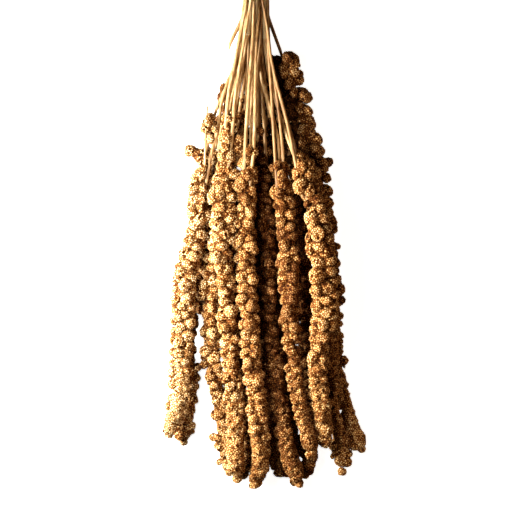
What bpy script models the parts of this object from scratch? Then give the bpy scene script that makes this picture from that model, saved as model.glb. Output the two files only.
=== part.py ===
"""A bunch of foxtail millet, tied round its stems and laid down on a flat surface.

Each plant gives two pieces that grow end to end: a bare straw stem, and the seed head below it. A head is a
thin axis that carries whorls of round seed clusters. The clusters are raised from the head's surface by a
formula: each is a six-sided rise from the creases round it. The stems run side by side through one twine
binding, and the heads lie on the surface and on each other.

The layout is written in millimetres, as (across, down, height): across is +X, down runs from the binding
towards the tips and is -Y, and height is +Z above the surface. The finished model is in metres.
"""

import math
from collections import namedtuple

import bmesh
import bpy
import numpy as np

MM = 0.001

# Stems
STEM_RADIUS = 1.9
STEM_NECK_RADIUS = 1.45
STEM_STEP = 3.0
STEM_TOLERANCE = 0.12
CUT_END_DOWN = -34.0
CUT_END_FLARE = 1.22
SEAT_GAP = 0.45

# Binding
TIE_HALF_LENGTH = 7.0
TIE_CENTRE = (0.5, 13.4)
TWINE_RADIUS = 1.0
TWINE_TURNS = 3
TWINE_TURN_PITCH = 2.3
TWINE_POINTS_PER_TURN = 14
KNOT_RADIUS = 2.6
KNOT_STRETCH = (1.0, 1.35, 0.8)
KNOT_LIFT = 0.6
TAIL_REACH = (7.1, -15.3, -1.0)
TAIL_BEND = (2.0, 0.0, 1.2)
TAIL_THINNESS = 0.9

# The flatter part of the bundle, below the binding: how far down, its centre, and its spread each way
WAIST_DOWN = 60.0
WAIST_CENTRE = (-2.0, 15.0)
WAIST_SPREAD = (1.5, 0.8)

# Seed heads
COLUMNS = 10
WHORL_SPACING = 9.6
WHORL_TWIST = math.radians(7.0)
CROWN_UNEVENNESS = 0.16
CROWN_TURN = 0.13
CROWN_SLIP = 0.13
CREASE_PROFILE = ([0.0, 0.2, 0.5, 0.8, 1.0], [0.42, 0.55, 0.67, 0.78, 0.86])
BASE_SHARE = 0.8
END_SHARE = 0.9
ROUND_END = 1.3
TIP_SHARE = 0.3
PRESS_DEPTH = 1.2

# Spacing of the laid bunch
SLICE = 4.0
CLEARANCE = 0.45
SETTLE_ROUNDS = 500
DRAWN_SHARE = 0.7
PULL_HOME = (0.04, 0.01)
SINK = 0.06
STIFFNESS = 0.5
FINAL_STIFFNESS = 0.12
PUSH_PASSES = 3
PUSH_SHARE = 0.32
SEED = 41

Head = namedtuple("Head", "upper middle lower route")
Straw = namedtuple("Straw", "route")

# Each head: its radius in the upper, middle and lower part, then the way it lies from its base to its tip.
HEADS = {
    "head_01": Head(9.6, 9.8, 8.8, [(-33, 118, 28), (-36, 150, 32), (-40, 182, 32), (-47, 210, 30),
                                    (-55, 244, 28), (-58, 284, 27), (-59, 318, 26), (-61, 345, 24),
                                    (-70, 371, 12)]),
    "head_02": Head(7.6, 8.0, 7.2, [(-33, 140, 9), (-36, 180, 9), (-40, 220, 8), (-46, 256, 8),
                                    (-53, 300, 8), (-54, 340, 8), (-59, 360, 8), (-61, 379, 7)]),
    "head_03": Head(9.2, 8.2, 9.2, [(-21, 114, 30), (-19, 142, 32), (-26, 168, 32), (-28, 200, 30),
                                    (-26, 236, 29), (-22, 276, 28), (-20, 310, 27), (-16, 344, 26),
                                    (-16, 374, 24), (-13, 406, 14)]),
    "head_04": Head(7.8, 8.6, 8.8, [(-29, 150, 18), (-27, 190, 17), (-33, 226, 19), (-37, 254, 21),
                                    (-37, 280, 22), (-34, 306, 21), (-30, 326, 18), (-23, 344, 14),
                                    (-22, 372, 10), (-18, 403, 8)]),
    "head_05": Head(9.8, 9.2, 9.6, [(-7, 141, 38), (-10, 158, 40), (-14, 176, 40), (-10, 200, 38),
                                    (-10, 232, 37), (-8, 268, 36), (-7, 298, 36), (-3, 322, 36),
                                    (1, 344, 34), (2, 368, 32), (1, 390, 26), (-4, 413, 16)]),
    "head_06": Head(8.2, 8.4, 9.2, [(2, 122, 24), (4, 156, 25), (6, 184, 25), (10, 216, 24), (11, 248, 24),
                                    (11, 276, 24), (14, 302, 24), (18, 330, 24), (21, 356, 24),
                                    (26, 382, 22), (36, 410, 14)]),
    "head_07": Head(9.8, 8.8, 7.4, [(20, 152, 38), (20, 176, 38), (22, 204, 37), (26, 232, 36),
                                    (26, 268, 35), (28, 300, 35), (31, 328, 35), (38, 360, 34),
                                    (46, 385, 30)]),
    "head_08": Head(8.2, 8.4, 8.2, [(26, 152, 9), (34, 196, 9), (38, 236, 8), (40, 276, 8), (41, 316, 8),
                                    (42, 356, 8), (42, 380, 8), (38, 406, 8)]),
    "head_09": Head(10.2, 9.8, 9.4, [(32, 156, 34), (38, 174, 36), (45, 194, 37), (50, 216, 36),
                                     (53, 242, 34), (54, 268, 33), (51, 298, 32), (50, 324, 30),
                                     (52, 346, 28), (58, 374, 24)]),
    "head_10": Head(8.4, 8.4, 6.8, [(34, 146, 22), (44, 174, 22), (51, 202, 20), (56, 230, 20),
                                    (57, 254, 20), (57, 276, 20), (58, 300, 19), (61, 324, 17),
                                    (65, 346, 14), (70, 372, 9), (70, 399, 8)]),
    "head_11": Head(9.4, 8.2, 6.0, [(22, 66, 10), (33, 96, 10), (40, 122, 10), (45, 146, 10), (49, 176, 9),
                                    (53, 208, 8), (58, 240, 8), (60, 270, 8), (62, 304, 8), (69, 342, 8),
                                    (75, 364, 7), (87, 384, 6)]),
    "head_12": Head(7.8, 8.2, 7.4, [(-24, 92, 12), (-20, 114, 11), (-10, 144, 9), (-3, 180, 9), (0, 216, 8),
                                    (2, 260, 8), (4, 300, 8), (6, 336, 8), (12, 366, 8), (21, 403, 8)]),
    "head_13": Head(7.6, 8.4, 8.0, [(-10, 98, 12), (-15, 134, 10), (-19, 174, 9), (-20, 210, 8),
                                    (-20, 252, 8), (-21, 300, 8), (-16, 340, 8), (-9, 372, 8),
                                    (-8, 398, 8)]),
    "head_14": Head(7.6, 8.6, 8.0, [(6, 98, 11), (12, 136, 10), (17, 180, 9), (21, 216, 8), (24, 256, 8),
                                    (25, 300, 8), (26, 340, 8), (28, 372, 8), (29, 398, 8)]),
}

# Seed clusters that stand out on longer stalks: the point, across and down, that the nearest one reaches.
LONG_STALKS = {
    "head_01": [(-53.0, 144.0)],
    "head_04": [(-46.0, 315.0)],
    "head_11": [(39.0, 77.0), (56.0, 157.0), (70.0, 262.0)],
}

# Bare straws held by the binding with the stems: the way each lies below the binding, to its broken end.
STRAWS = {
    "straw_01": Straw([(-9, 30, 17), (-23, 60, 19)]),
    "straw_02": Straw([(-3, 60, 18), (-7, 122, 25)]),
    "straw_03": Straw([(4, 60, 18), (11, 116, 22)]),
    "straw_04": Straw([(-9, 60, 16), (-16, 118, 20)]),
}


def clear_scene():
    for old in list(bpy.data.objects):
        bpy.data.objects.remove(old)


def smooth_between(knots, values, at):
    """The cubic through (knots, values), with slopes taken from the knots on each side."""
    knots = np.asarray(knots, float)
    values = np.asarray(values, float)
    slopes = np.gradient(values, knots)
    cell = np.clip(np.searchsorted(knots, at) - 1, 0, len(knots) - 2)
    width = knots[cell + 1] - knots[cell]
    t = np.clip((at - knots[cell]) / width, 0.0, 1.0)
    start = (1 + 2 * t) * (1 - t) ** 2 * values[cell] + t * (1 - t) ** 2 * width * slopes[cell]
    end = t * t * (3 - 2 * t) * values[cell + 1] - t * t * (1 - t) * width * slopes[cell + 1]
    return start + end


def head_radius(head, along, length):
    """How far the crowns of a head's seed clusters reach from its axis, a length along it from its base."""
    radii = [BASE_SHARE * head.upper, head.upper, head.middle, head.lower, END_SHARE * head.lower]
    swell = smooth_between([0.0, 0.18, 0.55, 0.85, 1.0], radii, along / length)
    left = np.clip((length - along) / (ROUND_END * head.lower), 0.0, 1.0)
    return swell * np.sqrt(1 - (1 - left) ** 2)


def binding_slots():
    """The centres of 19 stems packed side by side, as hexagonal rings round one, across and height."""
    pitch = 2 * STEM_RADIUS + CLEARANCE
    slots = []
    for row in range(-2, 3):
        count = 5 - abs(row)
        for place in range(count):
            slots.append(((place - (count - 1) / 2) * pitch, row * pitch * math.sqrt(0.75)))
    return np.array(slots)


def slot_of_each(bases, slots):
    """Which slot each stem takes: stems are swapped until no swap brings them nearer their own side."""
    aims = bases - bases.mean(axis=0)
    aims *= slots.std() / aims.std()
    taken = list(range(len(bases)))
    swapped = True
    while swapped:
        swapped = False
        for a in range(len(taken)):
            for b in range(a):
                now = aims[a] @ slots[taken[a]] + aims[b] @ slots[taken[b]]
                then = aims[a] @ slots[taken[b]] + aims[b] @ slots[taken[a]]
                if then > now + 1e-9:
                    taken[a], taken[b] = taken[b], taken[a]
                    swapped = True
    return slots[taken]


def full_route(route, slot):
    """A plant's whole way: straight through the binding, flared at the cut end, then along its own route."""
    across, height = np.array(TIE_CENTRE) + slot
    cut_across, cut_height = np.array(TIE_CENTRE) + CUT_END_FLARE * slot
    waist = np.array(WAIST_CENTRE) + np.array(WAIST_SPREAD) * slot
    bound = [(cut_across, CUT_END_DOWN, cut_height), (across, -TIE_HALF_LENGTH, height),
             (across, TIE_HALF_LENGTH, height)]
    if route[0][1] > WAIST_DOWN + 20:
        bound.append((waist[0], WAIST_DOWN, waist[1]))
    return np.array(bound + [tuple(point) for point in route], float)


def laid_bunch():
    """Each plant's axis as (down, across, height, radius) on shared slices, with no two plants touching.

    The plants start on their own routes. They are then let down onto the surface and pushed apart, slice by
    slice, until the round sections of all plants clear each other.
    """
    plants = {**HEADS, **STRAWS}
    names = list(plants)
    bases = np.array([[plants[name].route[0][0], plants[name].route[0][2]] for name in names], float)
    slots = slot_of_each(bases, binding_slots())
    down = np.arange(CUT_END_DOWN, 416.0, SLICE)
    size = (len(names), len(down))
    across, height, radius = np.zeros(size), np.zeros(size), np.zeros(size)
    weight = np.zeros(size)
    alive = np.zeros(size, bool)
    for i, name in enumerate(names):
        points = full_route(plants[name].route, slots[i])
        alive[i] = (down >= points[0, 1] - 1e-6) & (down <= points[-1, 1] + SLICE)
        across[i] = smooth_between(points[:, 1], points[:, 0], down)
        height[i] = smooth_between(points[:, 1], points[:, 2], down)
        radius[i] = stem_radius(down, plants[name].route[0][1])
        if name in HEADS:
            base, tip = plants[name].route[0][1], points[-1, 1]
            inside = (down >= base) & (down <= tip)
            grown = head_radius(plants[name], np.clip(down - base, 0, tip - base), tip - base)
            radius[i] = np.where(inside, np.maximum(grown, STEM_NECK_RADIUS), radius[i])
            weight[i] = inside
    slant = np.hypot(1.0, np.hypot(np.gradient(across, SLICE, axis=1), np.gradient(height, SLICE, axis=1)))
    reach = np.where(alive, radius * slant, 0.0)
    settle(across, height, reach, alive, weight, down <= TIE_HALF_LENGTH + SLICE / 2)
    return {name: (down[alive[i]], across[i, alive[i]], height[i, alive[i]], radius[i, alive[i]])
            for i, name in enumerate(names)}


def stem_radius(down, base):
    share = np.clip((down - CUT_END_DOWN) / (base - CUT_END_DOWN), 0.0, 1.0)
    return STEM_RADIUS + share * (STEM_NECK_RADIUS - STEM_RADIUS)


def settle(across, height, reach, alive, weight, held):
    """Moves the sections in place, until they clear each other and lie as low as they can."""
    home = np.stack([across, height])
    move = np.zeros_like(home)
    apart = reach[:, None] + reach[None] + CLEARANCE
    pair = alive[:, None] & alive[None] & ~np.eye(len(reach), dtype=bool)[:, :, None]
    floor = np.where(weight > 0, reach - PRESS_DEPTH, reach + CLEARANCE)
    for step in range(SETTLE_ROUNDS):
        drawn = step < DRAWN_SHARE * SETTLE_ROUNDS
        if drawn:
            move[0] *= 1 - PULL_HOME[0]
            move[1] *= 1 - PULL_HOME[1]
            move[1] -= SINK * weight
        middle = 0.5 * (move[:, :, :-2] + move[:, :, 2:])
        move[:, :, 1:-1] += (STIFFNESS if drawn else FINAL_STIFFNESS) * (middle - move[:, :, 1:-1])
        move[:, :, held] = 0.0
        for _ in range(PUSH_PASSES):
            place = home + move
            gap = place[:, :, None] - place[:, None]
            far = np.sqrt((gap ** 2).sum(axis=0)) + 1e-9
            push = np.where(pair, np.maximum(apart - far, 0.0), 0.0) / far
            move += PUSH_SHARE * (gap * push).sum(axis=2)
            move[1] = np.maximum(move[1], np.where(alive, floor, 0.0) - home[1])
            move[:, :, held] = 0.0
    place = home + move
    gap = place[:, :, None] - place[:, None]
    short = np.where(pair, apart - np.sqrt((gap ** 2).sum(axis=0)), 0.0)
    print(f"laid bunch: sections short of their clearance by {short.max():.3f} mm at most")
    across[:], height[:] = place


def along_axis(section, start, end):
    """A function from lengths along a plant's axis to points and tangents there, and the total length."""
    down, across, height, _ = section
    fine = np.arange(start, end + 0.25, 0.5)
    fine = np.append(fine[fine < end], end)
    points = np.stack([np.interp(fine, down, across), -fine, np.interp(fine, down, height)], axis=1)
    steps = np.linalg.norm(np.diff(points, axis=0), axis=1)
    length = np.concatenate([[0.0], np.cumsum(steps)])

    def at(distances):
        spots = np.stack([np.interp(distances, length, points[:, k]) for k in range(3)], axis=1)
        ahead = np.stack([np.interp(distances + 4, length, points[:, k]) for k in range(3)], axis=1)
        behind = np.stack([np.interp(distances - 4, length, points[:, k]) for k in range(3)], axis=1)
        tangents = ahead - behind
        return spots, tangents / np.linalg.norm(tangents, axis=1)[:, None]

    return at, length[-1]


def is_crown(row, column):
    """Whether a seed cluster has its crown here. Each whorl takes the columns that the last one left."""
    return row % 2 == 1 and (column + row // 2) % 2 == 0


def surface_of_head(name, head, section, rng):
    """Rows of points round a head's axis: crowns in the odd rows, and creases in the rows between them."""
    at, length = along_axis(section, head.route[0][1], head.route[-1][1])
    whorls = round(length / WHORL_SPACING)
    rows = 2 * whorls + 1
    row, column = np.indices((rows, COLUMNS))
    crown = np.vectorize(is_crown)(row, column)
    past_crown = (column + row // 2) % 2 == 1
    slip = np.where(past_crown, 1 / 6, -1 / 6)
    slip = np.where(row % 2 == 0, slip, CROWN_SLIP * rng.uniform(-1, 1, row.shape))
    slip[0] = slip[-1] = 0.0
    along = (row / 2 + slip) * length / whorls
    turn = 2 * math.pi * column / COLUMNS + WHORL_TWIST * row / 2
    turn += np.where(crown, CROWN_TURN * rng.uniform(-1, 1, row.shape), 0.0)
    crease = smooth_between(*CREASE_PROFILE, along / length)
    uneven = 1 - CROWN_UNEVENNESS * rng.random(row.shape)
    reach = head_radius(head, along, length) * np.where(crown, uneven, crease)
    reach[0] = STEM_NECK_RADIUS
    reach[-1] = TIP_SHARE * head.lower
    spots, tangents = at(along.ravel())
    sideways = np.cross(tangents, (0.0, 0.0, 1.0))
    sideways /= np.linalg.norm(sideways, axis=1)[:, None]
    upwards = np.cross(sideways, tangents)
    outwards = np.cos(turn.ravel())[:, None] * sideways + np.sin(turn.ravel())[:, None] * upwards
    surface = spots + reach.ravel()[:, None] * outwards
    for across, down in LONG_STALKS.get(name, []):
        aim = np.array([across, -down, np.interp(down, section[0], section[2])])
        far = np.where(crown.ravel(), np.linalg.norm(surface - aim, axis=1), np.inf)
        surface[far.argmin()] = aim
    return surface.reshape(rows, COLUMNS, 3)


def add_head(name, head, section, rng, finish):
    """A grid wrapped round the head's axis and closed at both ends, pressed flat where it lies."""
    surface = surface_of_head(name, head, section, rng)
    origin = surface[0].mean(axis=0)
    rows = len(surface)
    bm = bmesh.new()
    bmesh.ops.create_grid(bm, x_segments=COLUMNS, y_segments=rows - 1, size=1.0)
    lattice = {}
    for vertex in bm.verts:
        column = round((vertex.co.x + 1) / 2 * COLUMNS)
        row = round((vertex.co.y + 1) / 2 * (rows - 1))
        lattice[row, column] = vertex
        vertex.co = (surface[row, column % COLUMNS] - origin) * MM
    welds = {}
    crowns = set()
    for (row, column), vertex in lattice.items():
        if row % 2 == 1 and not is_crown(row, column):
            welds[vertex] = lattice[row + 1, column % COLUMNS]
        elif column == COLUMNS:
            welds[vertex] = lattice[row, 0]
        elif is_crown(row, column):
            crowns.add(vertex)
    bmesh.ops.weld_verts(bm, targetmap=welds)
    for face in list(bm.faces):
        corners = list(face.verts)
        crown = next(k for k, corner in enumerate(corners) if corner in crowns)
        if len(corners) == 4:
            bmesh.utils.face_split(face, corners[crown], corners[(crown + 2) % 4])
    bmesh.ops.holes_fill(bm, edges=bm.edges, sides=COLUMNS)
    whole = bm.verts[:] + bm.edges[:] + bm.faces[:]
    bmesh.ops.bisect_plane(bm, geom=whole, plane_co=(0, 0, -origin[2] * MM), plane_no=(0, 0, 1),
                           clear_inner=True, dist=1e-6)
    bmesh.ops.holes_fill(bm, edges=bm.edges, sides=0)
    bmesh.ops.recalc_face_normals(bm, faces=bm.faces)
    return add_mesh_object(name, bm, origin, finish)


def add_mesh_object(name, bm, origin, finish):
    mesh = bpy.data.meshes.new(name)
    bm.to_mesh(mesh)
    bm.free()
    mesh.shade_smooth()
    mesh.materials.append(finish)
    made = bpy.data.objects.new(name, mesh)
    made.location = origin * MM
    return made


def add_tube(name, points, radii, sides_setting):
    """A round tube through points, as a curve object with filled caps."""
    curve = bpy.data.curves.new(name, "CURVE")
    curve.dimensions = "3D"
    curve.bevel_depth = 1.0 * MM
    curve.bevel_resolution = sides_setting
    curve.use_fill_caps = True
    spline = curve.splines.new("POLY")
    spline.points.add(len(points) - 1)
    origin = points[0]
    for knot, point, radius in zip(spline.points, points, radii):
        knot.co = (*((point - origin) * MM), 1.0)
        knot.radius = radius
    made = bpy.data.objects.new(name, curve)
    made.location = origin * MM
    return made


def thinned(points, tolerance):
    """As few of the points as keep the straight lines between them within the tolerance of the rest."""
    kept = [0]
    for end in range(2, len(points)):
        chord = points[end] - points[kept[-1]]
        between = points[kept[-1] + 1:end] - points[kept[-1]]
        away = np.linalg.norm(np.cross(between, chord), axis=1) / np.linalg.norm(chord)
        if away.max() > tolerance:
            kept.append(end - 1)
    return points[kept + [len(points) - 1]]


def add_stem(name, section, end, finish):
    """A straw stem from its cut end to just short of the head, or to its broken end."""
    at, length = along_axis(section, CUT_END_DOWN, end)
    points, _ = at(np.linspace(0.0, length, round(length / STEM_STEP) + 1))
    points = thinned(points, STEM_TOLERANCE)
    radii = np.interp(-points[:, 1], section[0], stem_radius(section[0], end))
    stem = add_tube(name, points, radii, 1)
    stem.data.materials.append(finish)
    return stem


def as_closed_mesh(curve_object, collection):
    """A mesh copy of a curve object, with its caps welded on, in the object's place."""
    bpy.context.view_layer.update()
    graph = bpy.context.evaluated_depsgraph_get()
    mesh = bpy.data.meshes.new_from_object(curve_object.evaluated_get(graph))
    bm = bmesh.new()
    bm.from_mesh(mesh)
    bmesh.ops.remove_doubles(bm, verts=bm.verts, dist=1e-6)
    bm.to_mesh(mesh)
    bm.free()
    made = bpy.data.objects.new(curve_object.name + "_mesh", mesh)
    made.matrix_world = curve_object.matrix_world
    collection.objects.link(made)
    bpy.data.objects.remove(curve_object)
    return made


def turns_of_twine():
    """The twine's turns round the stems, starting and ending on top of the bundle."""
    steps = np.arange(TWINE_TURNS * TWINE_POINTS_PER_TURN + 1)
    angle = math.pi / 2 + 2 * math.pi * steps / TWINE_POINTS_PER_TURN
    bundle = 2 * (2 * STEM_RADIUS + CLEARANCE) + STEM_RADIUS
    ring = (bundle + SEAT_GAP + TWINE_RADIUS) / math.cos(math.pi / TWINE_POINTS_PER_TURN)
    lead = (steps / TWINE_POINTS_PER_TURN - TWINE_TURNS / 2) * TWINE_TURN_PITCH
    turns = np.stack([ring * np.cos(angle), lead, ring * np.sin(angle)], axis=1)
    return turns + (TIE_CENTRE[0], 0.0, TIE_CENTRE[1]), ring


def add_binding(bunch, finish):
    """Twine wound round the stems, with its knot and two short tails fused on top."""
    joined = bpy.data.collections.new("binding pieces")
    bpy.context.scene.collection.children.link(joined)
    points, ring = turns_of_twine()
    centre = np.array([TIE_CENTRE[0], 0.0, TIE_CENTRE[1]])
    knot_place = centre + (0.0, 0.0, ring + KNOT_LIFT)
    tubes = [add_tube("turns", points, [TWINE_RADIUS] * len(points), 1)]
    for side in (-1.0, 1.0):
        steps = np.linspace(0.0, 1.0, 5)[:, None]
        tail = np.array(TAIL_REACH) * steps + np.array(TAIL_BEND) * np.sin(math.pi * steps)
        tail = knot_place + (0.0, 0.0, KNOT_LIFT) + tail * (side, 1.0, 1.0)
        tubes.append(add_tube("tail", tail, [TAIL_THINNESS * TWINE_RADIUS] * len(tail), 1))
    for tube in tubes:
        joined.objects.link(tube)
    for tube in tubes:
        as_closed_mesh(tube, joined)
    bm = bmesh.new()
    bmesh.ops.create_icosphere(bm, subdivisions=2, radius=KNOT_RADIUS * MM)
    bmesh.ops.scale(bm, verts=bm.verts, vec=KNOT_STRETCH)
    tie = add_mesh_object("twine_tie", bm, knot_place, finish)
    bunch.objects.link(tie)
    union = tie.modifiers.new("Union", "BOOLEAN")
    union.operation = "UNION"
    union.operand_type = "COLLECTION"
    union.collection = joined
    bpy.context.view_layer.update()
    graph = bpy.context.evaluated_depsgraph_get()
    fused = bpy.data.meshes.new_from_object(tie.evaluated_get(graph))
    tie.modifiers.clear()
    tie.data = fused
    for piece in list(joined.objects):
        bpy.data.objects.remove(piece)
    bpy.data.collections.remove(joined)
    return tie


def add_material(name, colour, roughness):
    material = bpy.data.materials.new(name)
    material.use_nodes = True
    shader = material.node_tree.nodes["Principled BSDF"]
    shader.inputs["Base Color"].default_value = (*colour, 1.0)
    shader.inputs["Roughness"].default_value = roughness
    shader.inputs["Metallic"].default_value = 0.0
    material.diffuse_color = (*colour, 1.0)
    return material


def stand_on_origin(bunch):
    """Parents every piece to an empty, so that the origin is below the middle of the whole bunch."""
    bpy.context.view_layer.update()
    graph = bpy.context.evaluated_depsgraph_get()
    corners = []
    for piece in bunch.objects:
        shape = piece.evaluated_get(graph)
        mesh = shape.to_mesh()
        corners += [piece.matrix_world @ vertex.co for vertex in mesh.vertices]
        shape.to_mesh_clear()
    low = [min(corner[k] for corner in corners) for k in range(3)]
    high = [max(corner[k] for corner in corners) for k in range(3)]
    base = bpy.data.objects.new("millet_bunch_base", None)
    base.location = (-(low[0] + high[0]) / 2, -(low[1] + high[1]) / 2, 0.0)
    pieces = list(bunch.objects)
    bunch.objects.link(base)
    for piece in pieces:
        piece.parent = base
    print("lowest and highest corners:", [f"{v:.4f}" for v in low + high])


def main():
    clear_scene()
    bunch = bpy.data.collections.new("millet bunch")
    bpy.context.scene.collection.children.link(bunch)
    straw = add_material("straw", (0.72, 0.52, 0.26), 0.5)
    seed = add_material("seed_head", (0.62, 0.38, 0.13), 0.75)
    twine = add_material("twine", (0.5, 0.36, 0.2), 0.9)
    rng = np.random.default_rng(SEED)
    sections = laid_bunch()
    for name, head in HEADS.items():
        base = head.route[0][1]
        bunch.objects.link(add_head(name, head, sections[name], rng, seed))
        stem_name = name.replace("head", "stem")
        bunch.objects.link(add_stem(stem_name, sections[name], base - SEAT_GAP, straw))
    for name, bare in STRAWS.items():
        bunch.objects.link(add_stem(name, sections[name], bare.route[-1][1], straw))
    add_binding(bunch, twine)
    stand_on_origin(bunch)


main()
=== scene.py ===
# %% [markdown]
# # A tied bunch of foxtail millet
#
# This lesson dresses a bunch of dried foxtail millet. Each head is a thin straw axis, the rachis, with
# clusters of seed grains standing all round it. The clusters near the stem are long ovals on short stalks,
# and towards the tip they get small and merge into one granular finger.
#
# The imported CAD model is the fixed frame. It has one solid for each head, each stem and the twine, and
# every seed cluster is one raised crown on its head. Here each crown gets an oval that is covered in
# grains, and the stems and the twine get their hollow ends, growth joints, leaf sheaths and twisted
# strands.

import functools
import math
from collections import namedtuple

import bmesh
import bpy
import numpy as np
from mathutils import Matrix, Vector


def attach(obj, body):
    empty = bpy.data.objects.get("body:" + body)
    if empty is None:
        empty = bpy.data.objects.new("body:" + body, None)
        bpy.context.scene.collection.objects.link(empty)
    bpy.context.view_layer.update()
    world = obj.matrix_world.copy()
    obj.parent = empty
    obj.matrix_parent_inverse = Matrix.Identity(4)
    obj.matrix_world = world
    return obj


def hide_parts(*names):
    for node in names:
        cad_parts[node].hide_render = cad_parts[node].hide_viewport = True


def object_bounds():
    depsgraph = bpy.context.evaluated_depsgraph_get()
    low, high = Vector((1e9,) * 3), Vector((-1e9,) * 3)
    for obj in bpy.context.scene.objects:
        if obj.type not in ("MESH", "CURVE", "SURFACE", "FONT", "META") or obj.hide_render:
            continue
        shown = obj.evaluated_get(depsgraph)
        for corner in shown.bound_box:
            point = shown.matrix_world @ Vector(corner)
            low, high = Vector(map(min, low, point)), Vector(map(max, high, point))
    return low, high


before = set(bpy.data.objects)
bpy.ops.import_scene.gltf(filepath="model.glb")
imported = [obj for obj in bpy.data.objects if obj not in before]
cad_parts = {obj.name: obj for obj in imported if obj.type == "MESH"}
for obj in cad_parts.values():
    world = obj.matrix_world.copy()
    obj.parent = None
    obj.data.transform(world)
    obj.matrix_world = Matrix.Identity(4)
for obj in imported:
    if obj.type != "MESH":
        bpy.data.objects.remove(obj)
cad_low, cad_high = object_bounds()
MM = 0.001
HEADS = sorted(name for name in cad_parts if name.startswith("head"))
STEMS = sorted(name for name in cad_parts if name.startswith("stem"))
STRAWS = sorted(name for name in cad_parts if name.startswith("straw"))
print("heads", len(HEADS), "stems", len(STEMS), "bare straws", len(STRAWS))
print("box in mm", [round(v / MM, 1) for v in (*cad_low, *cad_high)])

# %% [markdown]
# ## Camera, floor and light
#
# The photograph looks straight at the bunch, so the camera looks straight down on the laid bunch. The
# picture is 512 pixels wide, and a pixel is 0.8 mm at the middle of the bunch's height. The floor is plain
# and pale: it shines a little by itself, so that it stays even, and it throws no light back on the bunch.
#
# Four lamps stand for a window at the left and the room round it. A small one far off gives the light its
# direction, 30 degrees up, so each head is bright on its left and dark on its right. A long one close to
# the left side brings out the round clusters there. Two weak, warm ones keep the shadows in front and at
# the right brown instead of black, and so does the world's faint warm colour.

# %% Camera
def add_object(name, data):
    """A new object in the scene."""
    made = bpy.data.objects.new(name, data)
    bpy.context.scene.collection.objects.link(made)
    return made


PIXEL, PIXELS_ACROSS = 0.8, 512
PICTURE_WIDTH = PIXEL * PIXELS_ACROSS * MM
LENS, SENSOR = 100.0, 36.0
PICTURE_CENTRE = (-7.0 * MM, -36.75 * MM, 27 * MM)

camera_data = bpy.data.cameras.new("camera")
camera_data.lens = LENS
camera_data.sensor_width = SENSOR
camera = add_object("camera", camera_data)
away = PICTURE_WIDTH * LENS / SENSOR
camera.location = (PICTURE_CENTRE[0], PICTURE_CENTRE[1], PICTURE_CENTRE[2] + away)
bpy.context.scene.camera = camera
print("camera", round(away, 3), "m above the middle of the bunch")

# %% Floor
FLOOR_REACH = 20
FLOOR_COLOUR, FLOOR_ROUGHNESS = (0.9, 0.89, 0.87, 1), 0.9
FLOOR_SHINE, SHINE_STRENGTH = (1.0, 0.99, 0.97, 1), 0.95

floor_mesh = bpy.data.meshes.new("floor")
floor_corners = [(x * FLOOR_REACH, y * FLOOR_REACH, 0) for x, y in ((-1, -1), (1, -1), (1, 1), (-1, 1))]
floor_mesh.from_pydata(floor_corners, [], [(0, 1, 2, 3)])
floor = add_object("floor", floor_mesh)
floor_finish = bpy.data.materials.new("pale_floor")
floor_finish.use_nodes = True
paint = floor_finish.node_tree.nodes["Principled BSDF"]
paint.inputs["Base Color"].default_value = FLOOR_COLOUR
paint.inputs["Roughness"].default_value = FLOOR_ROUGHNESS
paint.inputs["Emission Color"].default_value = FLOOR_SHINE
paint.inputs["Emission Strength"].default_value = SHINE_STRENGTH
floor_mesh.materials.append(floor_finish)
floor.visible_diffuse = False
floor.visible_glossy = False
print("the floor reaches", FLOOR_REACH, "m each way")

# %% Light
# Each lamp: its name, the way to it, its distance and size in metres, its power in watts, and its colour
LAMPS = [
    ("window_light", (-0.82, 0.26, 0.50), 4.0, (0.36, 0.36), 405.0, (1.0, 0.95, 0.84)),
    ("soft_side", (-0.95, -0.10, 0.30), 0.22, (0.20, 0.60), 7.7, (1.0, 0.96, 0.87)),
    ("front_fill", (0.40, -0.15, 0.90), 1.2, (0.7, 0.7), 0.6, (1.0, 0.66, 0.38)),
    ("right_fill", (0.93, -0.10, 0.33), 1.2, (0.5, 0.5), 4.8, (1.0, 0.66, 0.38))]
ROOM_COLOUR, ROOM_STRENGTH = (1.0, 0.72, 0.50, 1), 0.022


def add_lamp(name, way, distance, size, power, colour):
    """A soft lamp that looks at the middle of the bunch from one direction."""
    lamp = bpy.data.lights.new(name, "AREA")
    lamp.shape = "ELLIPSE"
    lamp.size, lamp.size_y = size
    lamp.energy = power
    lamp.color = colour
    made = add_object(name, lamp)
    way = Vector(way).normalized()
    made.location = Vector(PICTURE_CENTRE) + distance * way
    made.rotation_mode = "QUATERNION"
    made.rotation_quaternion = way.to_track_quat("Z", "Y")


for lamp in LAMPS:
    add_lamp(*lamp)

world = bpy.data.worlds.new("soft_fill")
world.use_nodes = True
world.node_tree.nodes["Background"].inputs["Color"].default_value = ROOM_COLOUR
world.node_tree.nodes["Background"].inputs["Strength"].default_value = ROOM_STRENGTH
bpy.context.scene.world = world
bpy.context.scene.view_settings.view_transform = "Standard"
bpy.context.scene.view_settings.look = "None"
print("lamps and their watts", {lamp[0]: lamp[4] for lamp in LAMPS})

# %% [markdown]
# ## Reading the shapes of the frame
#
# The pieces have to follow the CAD solids closely, so every head and stem is read back from the frame.
# Cutting a solid by many planes across the bunch gives a ring of points at each plane, and the ring's
# middle is a point of the axis.

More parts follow.
